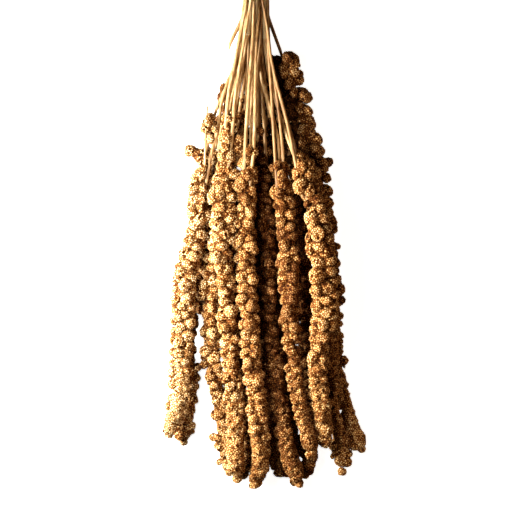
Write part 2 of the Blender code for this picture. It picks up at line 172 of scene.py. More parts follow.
# %% Corners and triangles of a CAD node
def welded(node):
    """A node's corner points and triangles, with corners that lie together made one."""
    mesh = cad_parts[node].data
    mesh.calc_loop_triangles()
    points = np.empty(3 * len(mesh.vertices), np.float32)
    mesh.vertices.foreach_get("co", points)
    triangles = np.empty(3 * len(mesh.loop_triangles), np.int32)
    mesh.loop_triangles.foreach_get("vertices", triangles)
    points = points.reshape(-1, 3).astype(float)
    _, first, where = np.unique(np.round(points / MM, 3), axis=0, return_index=True, return_inverse=True)
    triangles = where.ravel()[triangles].reshape(-1, 3)
    return points[first], triangles


def edges_of(triangles):
    """The pairs of corners that share an edge, each pair once."""
    pairs = np.concatenate([triangles[:, sides] for sides in ([0, 1], [1, 2], [2, 0])])
    return np.unique(np.sort(pairs, axis=1), axis=0)


sample_points, sample_triangles = welded(HEADS[0])
sample_edges = edges_of(sample_triangles)
print(HEADS[0], "has", len(sample_points), "corners and", len(sample_edges), "edges")


# %% Helpers for lines of points
def run_along(points):
    """How far along a line of points each of them lies."""
    return np.concatenate([[0.0], np.cumsum(np.linalg.norm(np.diff(points, axis=0), axis=1))])


def eased(rows):
    """The inner rows, each drawn halfway to the middle of its two neighbours."""
    return 0.25 * rows[:-2] + 0.5 * rows[1:-1] + 0.25 * rows[2:]


def crossing(line, y):
    """The X and Z where a line that runs towards -Y passes one plane across Y, or several."""
    return np.stack([np.interp(-y, -line[:, 1], line[:, k]) for k in (0, 2)], axis=-1)


# %% The line down the middle of a long piece
CUT_IN = 0.2 * MM
STRAY = 1.5
REACH_PERCENTILE = 85


def middle_line(points, edges, step, smoothing):
    """Points down the middle, from the stem end (+Y) to the tip (-Y), and the outer reach round each."""
    top, bottom = points[:, 1].max(), points[:, 1].min()
    cuts = np.linspace(top - CUT_IN, bottom + CUT_IN, max(3, round((top - bottom) / step)))
    a, b = points[edges[:, 0]], points[edges[:, 1]]
    line, reach = [], []
    for cut in cuts:
        through = (a[:, 1] - cut) * (b[:, 1] - cut) < 0
        share = (cut - a[through, 1]) / (b[through, 1] - a[through, 1])
        ring = a[through] + share[:, None] * (b[through] - a[through])
        middle = ring.mean(axis=0)
        far = np.linalg.norm(ring - middle, axis=1)
        near = far < STRAY * np.median(far)
        middle = ring[near].mean(axis=0)
        line.append(middle)
        reach.append(np.percentile(np.linalg.norm(ring[near] - middle, axis=1), REACH_PERCENTILE))
    line, reach = np.array(line), np.array(reach)
    for _ in range(smoothing):
        line[1:-1] = eased(line)
        reach[1:-1] = eased(reach)
    return line, reach


# %% A line that can be asked for any place along it
WAY_STEP = 5 * MM
NEAREST_OF = 400
HEAD_SLICE, HEAD_SMOOTHING = 4 * MM, 3


class Axis:
    """A line through points, read by the distance along it."""

    def __init__(self, line, reach):
        self.points, self.reaches = line, reach
        self.along = run_along(line)
        self.length = self.along[-1]

    def at(self, along):
        """The point there."""
        return np.stack([np.interp(along, self.along, self.points[:, k]) for k in range(3)], axis=-1)

    def way(self, along):
        """The unit direction towards the tip."""
        step = self.at(np.asarray(along) + WAY_STEP) - self.at(np.asarray(along) - WAY_STEP)
        return step / np.linalg.norm(step, axis=-1, keepdims=True)

    def reach(self, along):
        """How far the piece reaches round the line there."""
        return np.interp(along, self.along, self.reaches)

    def nearest(self, point):
        """How far along the line its nearest place to a point is."""
        fine = np.linspace(0, self.length, NEAREST_OF)
        return fine[np.linalg.norm(self.at(fine) - point, axis=1).argmin()]


sample_axis = Axis(*middle_line(sample_points, sample_edges, HEAD_SLICE, HEAD_SMOOTHING))
print(HEADS[0], "is", round(sample_axis.length / MM), "mm long along its bend")

# %% Crowns: where each seed cluster reaches
PRESSED_BELOW = 0.05 * MM
STANDS_OUT = 0.02
END_MARGIN = 1.5 * MM
OFF_AXIS = 2.5 * MM
PRESSED_GROUP = 7 * MM
Crown = namedtuple("Crown", "point along")


def crowns_and_creases(points, edges, axis):
    """The corners that stand out from their neighbours, pressed ones too, and the corners between them."""
    along = np.array([axis.nearest(point) for point in points])
    out = np.linalg.norm(points - axis.at(along), axis=1)
    total, count = np.zeros(len(points)), np.zeros(len(points))
    for here, there in ((0, 1), (1, 0)):
        np.add.at(total, edges[:, here], out[edges[:, there]])
        np.add.at(count, edges[:, here], 1)
    around = total / np.maximum(count, 1)
    pressed = points[:, 2] < PRESSED_BELOW
    stands_out = (out > around + STANDS_OUT * axis.reach(along)) & ~pressed
    stands_out &= (along > END_MARGIN) & (out > OFF_AXIS)
    crowns = [Crown(points[k], along[k]) for k in np.flatnonzero(stands_out)]
    left = list(np.flatnonzero(pressed))
    while left:
        group = [k for k in left if np.linalg.norm(points[k] - points[left[0]]) < PRESSED_GROUP]
        middle = points[group].mean(axis=0)
        crowns.append(Crown(middle, axis.nearest(middle)))
        left = [k for k in left if k not in group]
    between = ~stands_out & ~pressed & (out > OFF_AXIS)
    creases = [Crown(points[k], along[k]) for k in np.flatnonzero(between)]
    return crowns, creases


# %% Read every head
HeadShape = namedtuple("HeadShape", "axis crowns creases")
shapes = {}
for name in HEADS:
    points, triangles = welded(name)
    edges = edges_of(triangles)
    axis = Axis(*middle_line(points, edges, HEAD_SLICE, HEAD_SMOOTHING))
    shapes[name] = HeadShape(axis, *crowns_and_creases(points, edges, axis))
print("clusters on each head", {name: len(shapes[name].crowns) for name in HEADS})

# %% [markdown]
# ## One cluster of grains
#
# A seed cluster is a ball or an oval covered in grains of about 2 mm that touch each other. Modelling each
# grain as a ball would cost far too many faces, and most of each grain is hidden by its neighbours. So only
# what shows is made: a raised top for each grain, and a sunk pit wherever three grains meet. Tops are
# spread evenly over the oval by turning a golden angle from one to the next, which leaves no rows or poles.
# A convex hull then tells which grains are neighbours, and each grain becomes a low six-sided dome between
# its pits.

# %% Grain tops and pits on an oval of revolution
GRAIN_PITCH = 2.05 * MM
GOLDEN_TURN = math.pi * (3 - math.sqrt(5))
# A hexagon's area over its pitch squared, and its pitch squared over its area
HEXAGON, AREA_TO_PITCH = 0.866, 1.155
GRAIN_SWAY = 0.13
ANGLES = np.linspace(0, math.pi, 400)
Shell = namedtuple("Shell", "points outward tops triangles")


def ring_areas(stretch):
    """The area of a narrow ring of an oval, from one end to the other."""
    return np.sin(ANGLES) * np.hypot(np.cos(ANGLES), stretch * np.sin(ANGLES))


def oval_area(stretch):
    """The area of an oval of girth 1 and half length stretch."""
    return 2 * math.pi * ring_areas(stretch).mean() * math.pi


@functools.lru_cache(None)
def grain_shell(count, stretch, variant):
    """The grains of an oval of girth 1: top and pit points, outward directions, and six triangles a grain."""
    rng = np.random.default_rng([count, round(10 * stretch), variant])
    ring = ring_areas(stretch)
    below = np.concatenate([[0], np.cumsum(0.5 * (ring[1:] + ring[:-1]))])
    tilt = np.interp((np.arange(count) + 0.5) / count, below / below[-1], ANGLES)
    turn = GOLDEN_TURN * np.arange(count)
    across = np.sin(tilt)
    tops = np.stack([across * np.cos(turn), across * np.sin(turn), stretch * np.cos(tilt)], axis=1)
    pitch = math.sqrt(AREA_TO_PITCH * oval_area(stretch) / count)
    tops += rng.normal(0, GRAIN_SWAY * pitch, tops.shape)
    tops /= np.linalg.norm(tops / (1, 1, stretch), axis=1)[:, None]
    bm = bmesh.new()
    for top in tops:
        bm.verts.new(top)
    bmesh.ops.convex_hull(bm, input=bm.verts)
    bm.verts.index_update()
    bm.faces.index_update()
    faces = np.array([[vert.index for vert in face.verts] for face in bm.faces])
    sides = np.array([[*(v.index for v in e.verts), *(f.index for f in e.link_faces)] for e in bm.edges])
    bm.free()
    pits = tops[faces].mean(axis=1)
    pits /= np.linalg.norm(pits / (1, 1, stretch), axis=1)[:, None]
    points = np.concatenate([tops, pits])
    outward = points / (1, 1, stretch ** 2)
    outward /= np.linalg.norm(outward, axis=1)[:, None]
    triangles = np.concatenate([sides[:, [0, 2, 3]], sides[:, [1, 3, 2]]]) + (0, count, count)
    corner = points[triangles]
    facing = np.cross(corner[:, 1] - corner[:, 0], corner[:, 2] - corner[:, 0])
    inside_out = (facing * outward[triangles[:, 0]]).sum(axis=1) < 0
    triangles[inside_out] = triangles[inside_out][:, [0, 2, 1]]
    return Shell(points, outward, count, triangles)


sample = grain_shell(110, 1.0, 0)
print("a cluster of 110 grains has", len(sample.triangles), "triangles")

# %% [markdown]
# ## Where the clusters sit
#
# Each crown of the CAD head is the furthest point of one cluster, so the cluster is placed to touch it from
# inside. Near the stem a cluster is a long oval that leans towards the tip. Lower down it is rounder, and
# near the tip smaller ones fill the creases between the crowns over a thick core. Some crowns get no
# cluster and some clusters stand proud, because a real head is never even. The core and the creases between
# round clusters are dark, as little light comes in there, and at the tip they are as light as the rest.

# %% How clusters change from the base of a head (0) to its tip (1)
# Girth in mm, the share of crowns with a cluster, length over girth, and the lean off the axis in degrees
GIRTH = ([0.0, 0.08, 0.25, 0.5, 0.75, 0.88, 1.0], [4.7, 5.3, 5.6, 5.3, 4.7, 3.6, 3.2])
KEPT_SHARE = ([0.0, 0.3, 0.6, 0.8, 1.0], [0.85, 0.80, 0.85, 0.95, 1.0])
STRETCH = ([0.0, 0.15, 0.4, 0.7, 1.0], [1.5, 1.35, 1.12, 1.06, 1.1])
LEAN = ([0.0, 0.2, 0.5, 1.0], [32.0, 42.0, 60.0, 70.0])
# The core's share of the head's reach, its painted shade, how strongly creases are painted dark as shade, and
# the share of them that is filled
CORE = ([0.0, 0.1, 0.3, 0.6, 0.8, 0.88, 1.0], [0.0, 0.30, 0.38, 0.48, 0.70, 0.86, 0.93])
CORE_PAINTED_SHADE = ([0.0, 0.55, 0.85, 1.0], [0.05, 0.12, 0.9, 1.0])
CREASE_PAINTED_SHADE = ([0.0, 0.6, 0.85, 1.0], [0.97, 0.92, 0.50, 0.25])
FILLED_SHARE = ([0.0, 0.15, 0.4, 0.7, 1.0], [0.02, 0.05, 0.10, 0.35, 0.8])
FINGER_FROM, FINGER_FULL, FINGER_REACH = 0.80, 0.9, 6.6 * MM
FLOOR_GAP = 0.1 * MM

# crease: how strongly the grains deep in a crease are painted dark as shade
Lobe = namedtuple("Lobe", "centre long_way girth half_length stalk tone crease", defaults=(1.0, 1.0))


def full_reach(axis, along):
    """How far a head reaches round its axis: its tip is a full, blunt finger."""
    reach = axis.reach(along)
    finger = np.clip((along / axis.length - FINGER_FROM) / (FINGER_FULL - FINGER_FROM), 0, 1)
    return reach + finger * np.maximum(FINGER_REACH - reach, 0)


def depth_of_oval(girth, half_length, slant):
    """How far an oval reaches from its centre in a direction that has this share along its length."""
    return np.sqrt(girth ** 2 * (1 - slant ** 2) + half_length ** 2 * slant ** 2)


def above_floor(centre, girth, half_length, long_way):
    """The centre, raised where the oval would dip below the floor."""
    lowest = depth_of_oval(girth, half_length, long_way[2]) + FLOOR_GAP
    return np.array([centre[0], centre[1], max(centre[2], lowest)])


print("half way, a head's clusters are", 2 * np.interp(0.5, *GIRTH), "mm across")

# %% Spread the clusters of one head
LEAST_APART = 0.95
SPREADING_STEPS, SPREADING_SHARE = 40, 0.2


def spread_out(axis, along, ways, reach, girth):
    """Moves round clusters over the head until they overlap less, each at its own reach from the axis."""
    centre = axis.at(along) + ways * (reach - girth)[:, None]
    apart = LEAST_APART * (girth[:, None] + girth[None])
    for _ in range(SPREADING_STEPS):
        gap = centre[:, None] - centre[None]
        far = np.linalg.norm(gap, axis=2) + np.eye(len(girth))
        push = np.maximum(apart - far, 0) / far * (1 - np.eye(len(girth)))
        centre = centre + SPREADING_SHARE * (gap * push[:, :, None]).sum(axis=1)
        along = np.interp(-centre[:, 1], -axis.points[:, 1], axis.along)
        along = np.clip(along, END_MARGIN, axis.length - END_MARGIN)
        offset = centre - axis.at(along)
        forward = axis.way(along)
        offset -= forward * (offset * forward).sum(axis=1)[:, None]
        ways = offset / np.linalg.norm(offset, axis=1)[:, None]
        centre = axis.at(along) + ways * (reach - girth)[:, None]
        centre[:, 2] = np.maximum(centre[:, 2], girth)
    return along, ways


# %% The clusters of one head
# A crown that stands this many reaches out, above the tip, carries a pair of small clusters on a long stalk
FAR_OUT, FAR_UNTIL = 1.4, 0.85
OUTER_GIRTH, INNER_GIRTH, PAIR_STEP = 4.0 * MM, 3.4 * MM, 5.5 * MM
TYPICAL_REACH, REACH_POWER = 8.6 * MM, 0.6
CLUSTER_SPREAD = (0.80, 1.18)
PROUD_SHARE, PROUD_BY, PROUD_UNTIL = 0.5, 3.2 * MM, 0.7
# Low heads are pressed wider by the ones on top of them
LOW_HEAD, PRESSED_WIDER = 17 * MM, 3.2 * MM
LEAN_SWAY, WAY_SWAY, LENGTH_SPREAD = 18, 0.15, (0.92, 1.28)
LEAST_OUT, LEAST_BEYOND, LAST_CLUSTER, STALKED_UNTIL = 0.4 * MM, 0.5 * MM, 9 * MM, 0.5


def stalked_pair(axis, along, way, reach):
    """Two small clusters, one behind the other, that reach to a crown far out."""
    lobes = []
    for reached, girth in ((reach, OUTER_GIRTH), (reach - PAIR_STEP, INNER_GIRTH)):
        centre = axis.at(along) + way * (reached - girth)
        lobes.append(Lobe(above_floor(centre, girth, girth, way), way, girth, girth, True))
    return lobes


def leaning_cluster(axis, along, way, reach, girth, share, rng):
    """One oval that leans towards the tip and touches its crown from inside."""
    lean = math.radians(np.interp(share, *LEAN) + rng.uniform(-LEAN_SWAY, LEAN_SWAY))
    long_way = math.cos(lean) * axis.way(along) + math.sin(lean) * way + rng.normal(0, WAY_SWAY, 3)
    long_way /= np.linalg.norm(long_way)
    half_length = girth * np.interp(share, *STRETCH) * rng.uniform(*LENGTH_SPREAD)
    depth = depth_of_oval(girth, half_length, long_way @ way)
    centre = axis.at(along) + way * max(reach - depth, LEAST_OUT)
    centre = above_floor(centre, girth, half_length, long_way)
    crease = np.interp(share, *CREASE_PAINTED_SHADE)
    return Lobe(centre, long_way, girth, half_length, bool(share < STALKED_UNTIL), 1.0, crease)


def clusters_of_head(shape, rng, fullness=1.0):
    """The ovals that reach to the crowns of one head."""
    axis, lobes = shape.axis, []
    along = np.array([crown.along for crown in shape.crowns])
    ways = np.array([crown.point for crown in shape.crowns]) - axis.at(along)
    reach = np.linalg.norm(ways, axis=1)
    ways /= reach[:, None]
    far = (reach > FAR_OUT * axis.reach(along)) & (along < FAR_UNTIL * axis.length)
    kept = far | (rng.random(len(along)) < fullness * np.interp(along / axis.length, *KEPT_SHARE))
    for k in np.flatnonzero(far):
        lobes += stalked_pair(axis, along[k], ways[k], reach[k])
    along, ways, reach = along[kept & ~far], ways[kept & ~far], reach[kept & ~far]
    share = along / axis.length
    size = (axis.reach(along) / TYPICAL_REACH) ** REACH_POWER * rng.uniform(*CLUSTER_SPREAD, len(along))
    girth = np.interp(share, *GIRTH) * MM * size
    proud = (rng.random(len(along)) < PROUD_SHARE) & (share < PROUD_UNTIL)
    reach = np.maximum(reach + np.where(proud, rng.uniform(0, PROUD_BY, len(along)), 0), girth + LEAST_BEYOND)
    low = axis.at(along)[:, 2] < LOW_HEAD
    reach = reach + np.where(low, PRESSED_WIDER * ways[:, 0] ** 2, 0)
    reach = np.where(share > FINGER_FROM, np.maximum(reach, full_reach(axis, along)), reach)
    along, ways = spread_out(axis, along, ways, reach, girth)
    for k in np.flatnonzero(along < axis.length - LAST_CLUSTER):
        lobes.append(leaning_cluster(axis, along[k], ways[k], reach[k], girth[k], share[k], rng))
    return lobes


trial = clusters_of_head(shapes[HEADS[0]], np.random.default_rng(0))
print("a trial of", HEADS[0], "gets", len(trial), "clusters")

# %% Small clusters in the creases, and the core
FILL_GIRTH, FILL_PROUD = (2.8, 4.0), (0.0, 1.2)
# Crease clusters are painted darker as shade, up to near the tip
FILL_PAINTED_SHADE = ([0.5, 0.85], [0.35, 1.0])
CORE_FROM, CORE_STEP, CORE_END = 4 * MM, 3.6 * MM, 5.5 * MM
CORE_SPREAD, LEAST_CORE = (0.95, 1.05), 2.4 * MM


def filling_of_head(shape, rng):
    """Small round clusters in some creases, and the row of balls that is the head's core."""
    axis, lobes = shape.axis, []
    for crease in shape.creases:
        share = crease.along / axis.length
        if rng.random() < np.interp(share, *FILLED_SHARE):
            way_out = crease.point - axis.at(crease.along)
            way_out /= np.linalg.norm(way_out)
            girth = rng.uniform(*FILL_GIRTH) * MM
            centre = crease.point + way_out * (rng.uniform(*FILL_PROUD) * MM - girth)
            centre = above_floor(centre, girth, girth, way_out)
            tone, dark = np.interp(share, *FILL_PAINTED_SHADE), np.interp(share, *CREASE_PAINTED_SHADE)
            lobes.append(Lobe(centre, way_out, girth, girth, False, tone, dark))
    for along in np.arange(CORE_FROM, axis.length - CORE_END, CORE_STEP):
        share = along / axis.length
        girth = np.interp(share, *CORE) * full_reach(axis, along) * rng.uniform(*CORE_SPREAD)
        if girth > LEAST_CORE:
            way, centre = axis.way(along), axis.at(along)
            # The core is painted dark as shade, up to near the tip
            tone, dark = np.interp(share, *CORE_PAINTED_SHADE), np.interp(share, *CREASE_PAINTED_SHADE)
            lobes.append(Lobe(above_floor(centre, girth, girth, way), way, girth, girth, False, tone, dark))
    return lobes


trial = filling_of_head(shapes[HEADS[0]], np.random.default_rng(0))
print("and", len(trial), "more to fill it")

# %% [markdown]
# ## Covering the clusters
#
# Overlapping ovals hide parts of each other. A triangle whose three corners lie inside another oval is left
# out, because nobody can see it, and the mesh gets lighter by almost half. Each corner of a face also
# carries three numbers for the material, in an attribute named growth: how near it is to its grain's top,
# the grain's tone and the cluster's, both with painted shade in them. A few grains have fallen out, and
# their places are painted dark as shade, and grains deep in a crease are painted darker as shade.

# %% Cover one head's ovals with grains
PIT_DEPTH, PIT_SPREAD, LOST_DEEPER = 0.62 * MM, (0.8, 1.2), 1.4
TOP_SPREAD, SIDEWAYS = (-0.06, 0.2), 0.1 * MM
# How light a pit is, as a mean and spread, and at most, and how light a lost grain's place is, as painted
# shade; a top is 1
PIT_LIGHT, LIGHTEST_PIT, LOST_LIGHT = (0.02, 0.09), 0.5, 0.14
LOST_GRAINS = 0.05
LUMPINESS, WAVES = 0.05, 2.3
HIDDEN_INSIDE, NOWHERE_NEAR = 0.80, 9.0
# How far out of the next oval a grain is painted fully dark as crease shade, and fully light
CREASE_SHADE_SPAN = (0.97, 1.38)
CLUSTER_LIGHT = (0.4, 1.0)
# Counts go in steps and stretches in tenths, so that clusters can share their shells
LEAST_STRETCH, LEAST_GRAINS, GRAINS_STEP, SHELL_VARIANTS = 0.8, 12, 6, 5
Part = namedtuple("Part", "points triangles growth creased finish")


def inside_oval(points, lobe):
    """How deep points are in an oval: 0 at its centre and 1 on its surface."""
    offset = points - lobe.centre
    along = offset @ lobe.long_way
    across = np.maximum((offset ** 2).sum(axis=1) - along ** 2, 0)
    return np.sqrt(across / lobe.girth ** 2 + along ** 2 / lobe.half_length ** 2)


def covered_in_grains(lobe, neighbours, rng):
    """The grains of one oval that show between its neighbours."""
    stretch = max(LEAST_STRETCH, round(lobe.half_length / lobe.girth, 1))
    wanted = oval_area(stretch) * lobe.girth ** 2 / (HEXAGON * GRAIN_PITCH ** 2)
    count = int(max(LEAST_GRAINS, GRAINS_STEP * round(wanted / GRAINS_STEP)))
    shell = grain_shell(count, stretch, int(rng.integers(SHELL_VARIANTS)))
    side = np.cross(lobe.long_way, rng.normal(0, 1, 3))
    side /= np.linalg.norm(side)
    basis = np.stack([side, np.cross(lobe.long_way, side), lobe.long_way])
    waves = rng.normal(0, WAVES, (3, 3))
    lumps = np.cos(shell.points @ waves.T + rng.uniform(0, 6.28, 3)).sum(axis=1) * LUMPINESS
    depth = PIT_DEPTH * rng.uniform(*PIT_SPREAD, len(shell.points))
    depth[:shell.tops] = MM * rng.uniform(*TOP_SPREAD, shell.tops)
    lost = rng.random(shell.tops) < LOST_GRAINS
    depth[:shell.tops][lost] = LOST_DEEPER * PIT_DEPTH
    local = lobe.girth * shell.points * (1 + lumps[:, None]) - shell.outward * depth[:, None]
    local[:shell.tops] += rng.normal(0, SIDEWAYS, (shell.tops, 3))
    points = lobe.centre + local @ basis
    depth_in_next = np.full(len(points), NOWHERE_NEAR)
    for other in neighbours:
        depth_in_next = np.minimum(depth_in_next, inside_oval(points, other))
    hidden = depth_in_next < HIDDEN_INSIDE
    triangles = shell.triangles[~hidden[shell.triangles].all(axis=1)]
    dark_to, light_from = CREASE_SHADE_SPAN
    in_the_open = np.clip((depth_in_next[:shell.tops] - dark_to) / (light_from - dark_to), 0, 1)
    # A random tone for each grain, with painted shade where it lies deep in a crease
    tone = rng.random(shell.tops) * (1 - lobe.crease * (1 - in_the_open))
    growth = np.zeros((len(triangles), 3, 3))
    # Pits and the places of lost grains are painted dark: painted shade between the grains
    raised = np.clip(rng.normal(*PIT_LIGHT, len(points)), 0, LIGHTEST_PIT)
    raised[:shell.tops] = np.where(lost, LOST_LIGHT, 1.0)
    growth[:, :, 0] = raised[triangles]
    growth[:, :, 1] = tone[triangles[:, 0]][:, None]
    # The cluster's painted light and shade from its head, times a random tone
    growth[:, :, 2] = lobe.tone * rng.uniform(*CLUSTER_LIGHT)
    creased = np.arange(len(points)) >= shell.tops
    return Part(points, triangles, growth, creased, 0)


def grains_of_head(lobes, rng):
    """Every oval of a head, covered in grains where its neighbours leave it bare."""
    centres = np.array([lobe.centre for lobe in lobes])
    sizes = np.array([max(lobe.girth, lobe.half_length) for lobe in lobes])
    parts = []
    for k, lobe in enumerate(lobes):
        close = np.linalg.norm(centres - lobe.centre, axis=1) < sizes + sizes[k]
        close[k] = False
        parts.append(covered_in_grains(lobe, [lobes[j] for j in np.flatnonzero(close)], rng))
    return parts


single = Lobe(np.zeros(3), np.array([0.0, 0.0, 1.0]), 5 * MM, 6 * MM, False)
trial = covered_in_grains(single, [], np.random.default_rng(0))
print("one cluster alone has", len(trial.triangles), "triangles")

# %% [markdown]
# ## Straw
#
# Stems, the rachis inside each head and the stalks of its clusters are all thin tubes, so one helper makes
# them. It carries a frame of two side directions along the line without twisting it, and puts a ring of
# corners at each point. A cut stem is hollow: its end ring turns inwards and goes down inside.
#
# The three numbers of the growth attribute are the place around the tube, the place along it in
# millimetres, and a mark: near 1 at a growth joint, 2 on a leaf sheath, below 0 inside a hollow cut. On
# straw, the first number then gives way to how light that straw is.

# %% A tube through points
JOINT_MARK = 2.5 * MM
# The rings inside a hollow cut: how deep in mm, their share of the radius, and their marks
HOLLOW_DEPTHS, HOLLOW_RADII, HOLLOW_MARKS = (4, 0.1, 0), (0.5, 0.58, 0.66), (-1, -1, -0.5)


def carried_frames(points, first_side):
    """Two side directions at each point, turned as little as the line turns."""
    ways = np.gradient(points, axis=0)
    ways /= np.linalg.norm(ways, axis=1)[:, None]
    side, frames = np.array(first_side, float), []
    for way in ways:
        side = side - way * (side @ way)
        side /= np.linalg.norm(side)
        frames.append((side, np.cross(way, side)))
    return np.array(frames)


def tube_triangles(rows, sides):
    """The walls between the rings of a tube, and the fans that close its two ends."""
    row, column = np.divmod(np.arange((rows - 1) * sides), sides)
    here, beside = row * sides + column, row * sides + (column + 1) % sides
    walls = np.concatenate([np.stack([here, here + sides, beside], 1),
                            np.stack([beside, here + sides, beside + sides], 1)])
    edge, last = np.arange(sides), (rows - 1) * sides
    start = np.stack([np.full(sides, rows * sides), edge, (edge + 1) % sides], 1)
    end = np.stack([np.full(sides, rows * sides + 1), last + (edge + 1) % sides, last + edge], 1)
    return np.concatenate([walls, start, end])


def tube(points, radii, sides, first_side=(1, 0, 0), hollow_start=False, joints=()):
    """A round tube through points with closed ends, or with a hollow cut at its start."""
    points, radii = np.asarray(points, float), np.asarray(radii, float)
    frames = carried_frames(points, first_side)
    along = run_along(points)
    marks = np.zeros(len(points))
    for joint in joints:
        marks = np.maximum(marks, np.exp(-((along - joint) / JOINT_MARK) ** 2))
    creased_rings = []
    if hollow_start:
        way = (points[1] - points[0]) / np.linalg.norm(points[1] - points[0])
        inner = [points[0] + depth * MM * way for depth in HOLLOW_DEPTHS]
        points = np.concatenate([inner, points])
        radii = np.concatenate([radii[0] * np.array(HOLLOW_RADII), radii])
        frames = np.concatenate([frames[[0, 0, 0]], frames])
        along = np.concatenate([[0, 0, 0], along])
        marks = np.concatenate([HOLLOW_MARKS, marks])
        creased_rings = [2, 3]
    turn = 2 * math.pi * np.arange(sides) / sides
    ring = np.cos(turn)[None, :, None] * frames[:, None, 0] + np.sin(turn)[None, :, None] * frames[:, None, 1]
    corners = points[:, None] + radii[:, None, None] * ring
    rows = len(points)
    corners = np.concatenate([corners.reshape(-1, 3), points[[0, -1]]])
    triangles = tube_triangles(rows, sides)
    around = np.concatenate([np.tile(np.arange(sides) / sides, rows), [0, 0]])
    lengthwise = np.concatenate([np.repeat(along, sides), along[[0, -1]]])
    marked = np.concatenate([np.repeat(marks, sides), marks[[0, -1]]])
    growth = np.stack([around, lengthwise / MM, marked], axis=1)[triangles]
    wrapped = growth[:, :, 0].max(axis=1) - growth[:, :, 0].min(axis=1) > 0.5
    growth[:, :, 0] += np.where(wrapped[:, None] & (growth[:, :, 0] < 0.5), 1.0, 0.0)
    creased = np.zeros(len(corners), bool)
    for k in creased_rings:
        creased[k * sides:(k + 1) * sides] = True
    return Part(corners, triangles, growth, creased, 1)


def with_tone(part, tone):
    """The part with how light its straw is, in place of the place around it."""
    part.growth[:, :, 0] = tone
    return part


trial = tube([(0, 0, 0), (0, 0, 0.01), (0, 0, 0.02)], [0.002] * 3, 12, hollow_start=True)
print("a short hollow straw has", len(trial.triangles), "triangles")

# %% The rachis and stalks inside a head
RACHIS_RADIUS = ([0, 0.3, 1], [1.45, 1.1, 0.5])
RACHIS_SHARE, RACHIS_STEP, RACHIS_SIDES = 0.96, 4 * MM, 8
STALK_RADII, STALK_SIDES = np.array([0.7, 0.55, 0.5]) * MM, 5
STALK_BACK, STALK_BOW = (2.0, 5.0), 0.15
HEAD_STRAW_TONE = 0.6


def straw_of_head(shape, lobes, rng):
    """The axis, from the stem's end to near the tip, and a stalk to each cluster that has one."""
    axis = shape.axis
    along = np.arange(0, RACHIS_SHARE * axis.length, RACHIS_STEP)
    radii = np.interp(along / axis.length, *RACHIS_RADIUS) * MM
    parts = [tube(axis.at(along), radii, RACHIS_SIDES)]
    for lobe in lobes:
        if lobe.stalk:
            start = axis.at(max(0.0, axis.nearest(lobe.centre) - rng.uniform(*STALK_BACK) * MM))
            inner = lobe.centre - 0.5 * lobe.half_length * lobe.long_way
            middle = 0.5 * (start + inner) + STALK_BOW * (lobe.centre - start)
            parts.append(tube(np.array([start, middle, inner]), STALK_RADII, STALK_SIDES))
    return [with_tone(part, HEAD_STRAW_TONE) for part in parts]


print("the rachis is", 2 * RACHIS_RADIUS[1][0], "mm thick at its base")

# %% [markdown]
# ## Making the pieces
#
# A piece is put together from its parts in one mesh. Pits are marked as creases, so that smooth shading
# rounds each grain by itself and doesn't run across from one grain to the next.

# %% One mesh object from parts
# Every corner stays this far inside the CAD model's box, in metres
HAIR = 1e-6
pieces_made = {}


def add_piece(name, node, parts, finishes):
    """Joins parts into one mesh, which stands for a CAD node where it is given one."""
    starts = np.cumsum([0] + [len(part.points) for part in parts])
    points = np.concatenate([part.points for part in parts])
    triangles = np.concatenate([part.triangles + start for part, start in zip(parts, starts)])
    growth = np.concatenate([part.growth for part in parts]).reshape(-1, 3)
    creased = np.concatenate([part.creased for part in parts])
    finish = np.concatenate([np.full(len(part.triangles), part.finish) for part in parts])
    used, new = np.unique(triangles, return_inverse=True)
    points, creased, triangles = points[used], creased[used], new.reshape(-1, 3)
    points = np.clip(points, np.array(cad_low) + HAIR, np.array(cad_high) - HAIR)
    mesh = bpy.data.meshes.new(name)
    mesh.from_pydata(points, [], triangles)
    mesh.attributes.new("growth", "FLOAT_VECTOR", "CORNER").data.foreach_set("vector", growth.ravel())
    mesh.polygons.foreach_set("use_smooth", np.ones(len(triangles), bool))
    mesh.polygons.foreach_set("material_index", finish.astype(np.int32))
    ends = np.empty(2 * len(mesh.edges), np.int32)
    mesh.edges.foreach_get("vertices", ends)
    mesh.edges.foreach_set("use_edge_sharp", creased[ends.reshape(-1, 2)].all(axis=1))
    for material in finishes:
        mesh.materials.append(material)
    mesh.update()
    piece = add_object(name, mesh)
    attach(piece, "root")
    if node:
        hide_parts(node)
    pieces_made[name] = len(triangles)
    return piece


# %% [markdown]
# ## Finishes
#
# All the dry plant parts share one effect: their tone drifts in soft patches, with small flecks on top. It
# is a node group with the patch and fleck sizes as inputs, and each material puts it in with its own
# values.
#
# A grain's colour is a product of four: from the pit beside it, painted dark as shade, to its pale top, from
# the grains of a crease, painted brown as shade, to the yellow ones outside, from the heads painted with
# shade to those painted with light, and the soft patches. Straw is streaked along its length, with brown
# spots and rings at its joints, and painted browner as shade on the right, and the twine's fibres follow its
# twist.

# %% A node group for patchy, flecked plant tissue
def add_node(tree, kind, x, y, **settings):
    """A shader node at its place in the node editor."""
    node = tree.nodes.new(kind)
    node.location = (x, y)
    for name, value in settings.items():
        setattr(node, name, value)
    return node


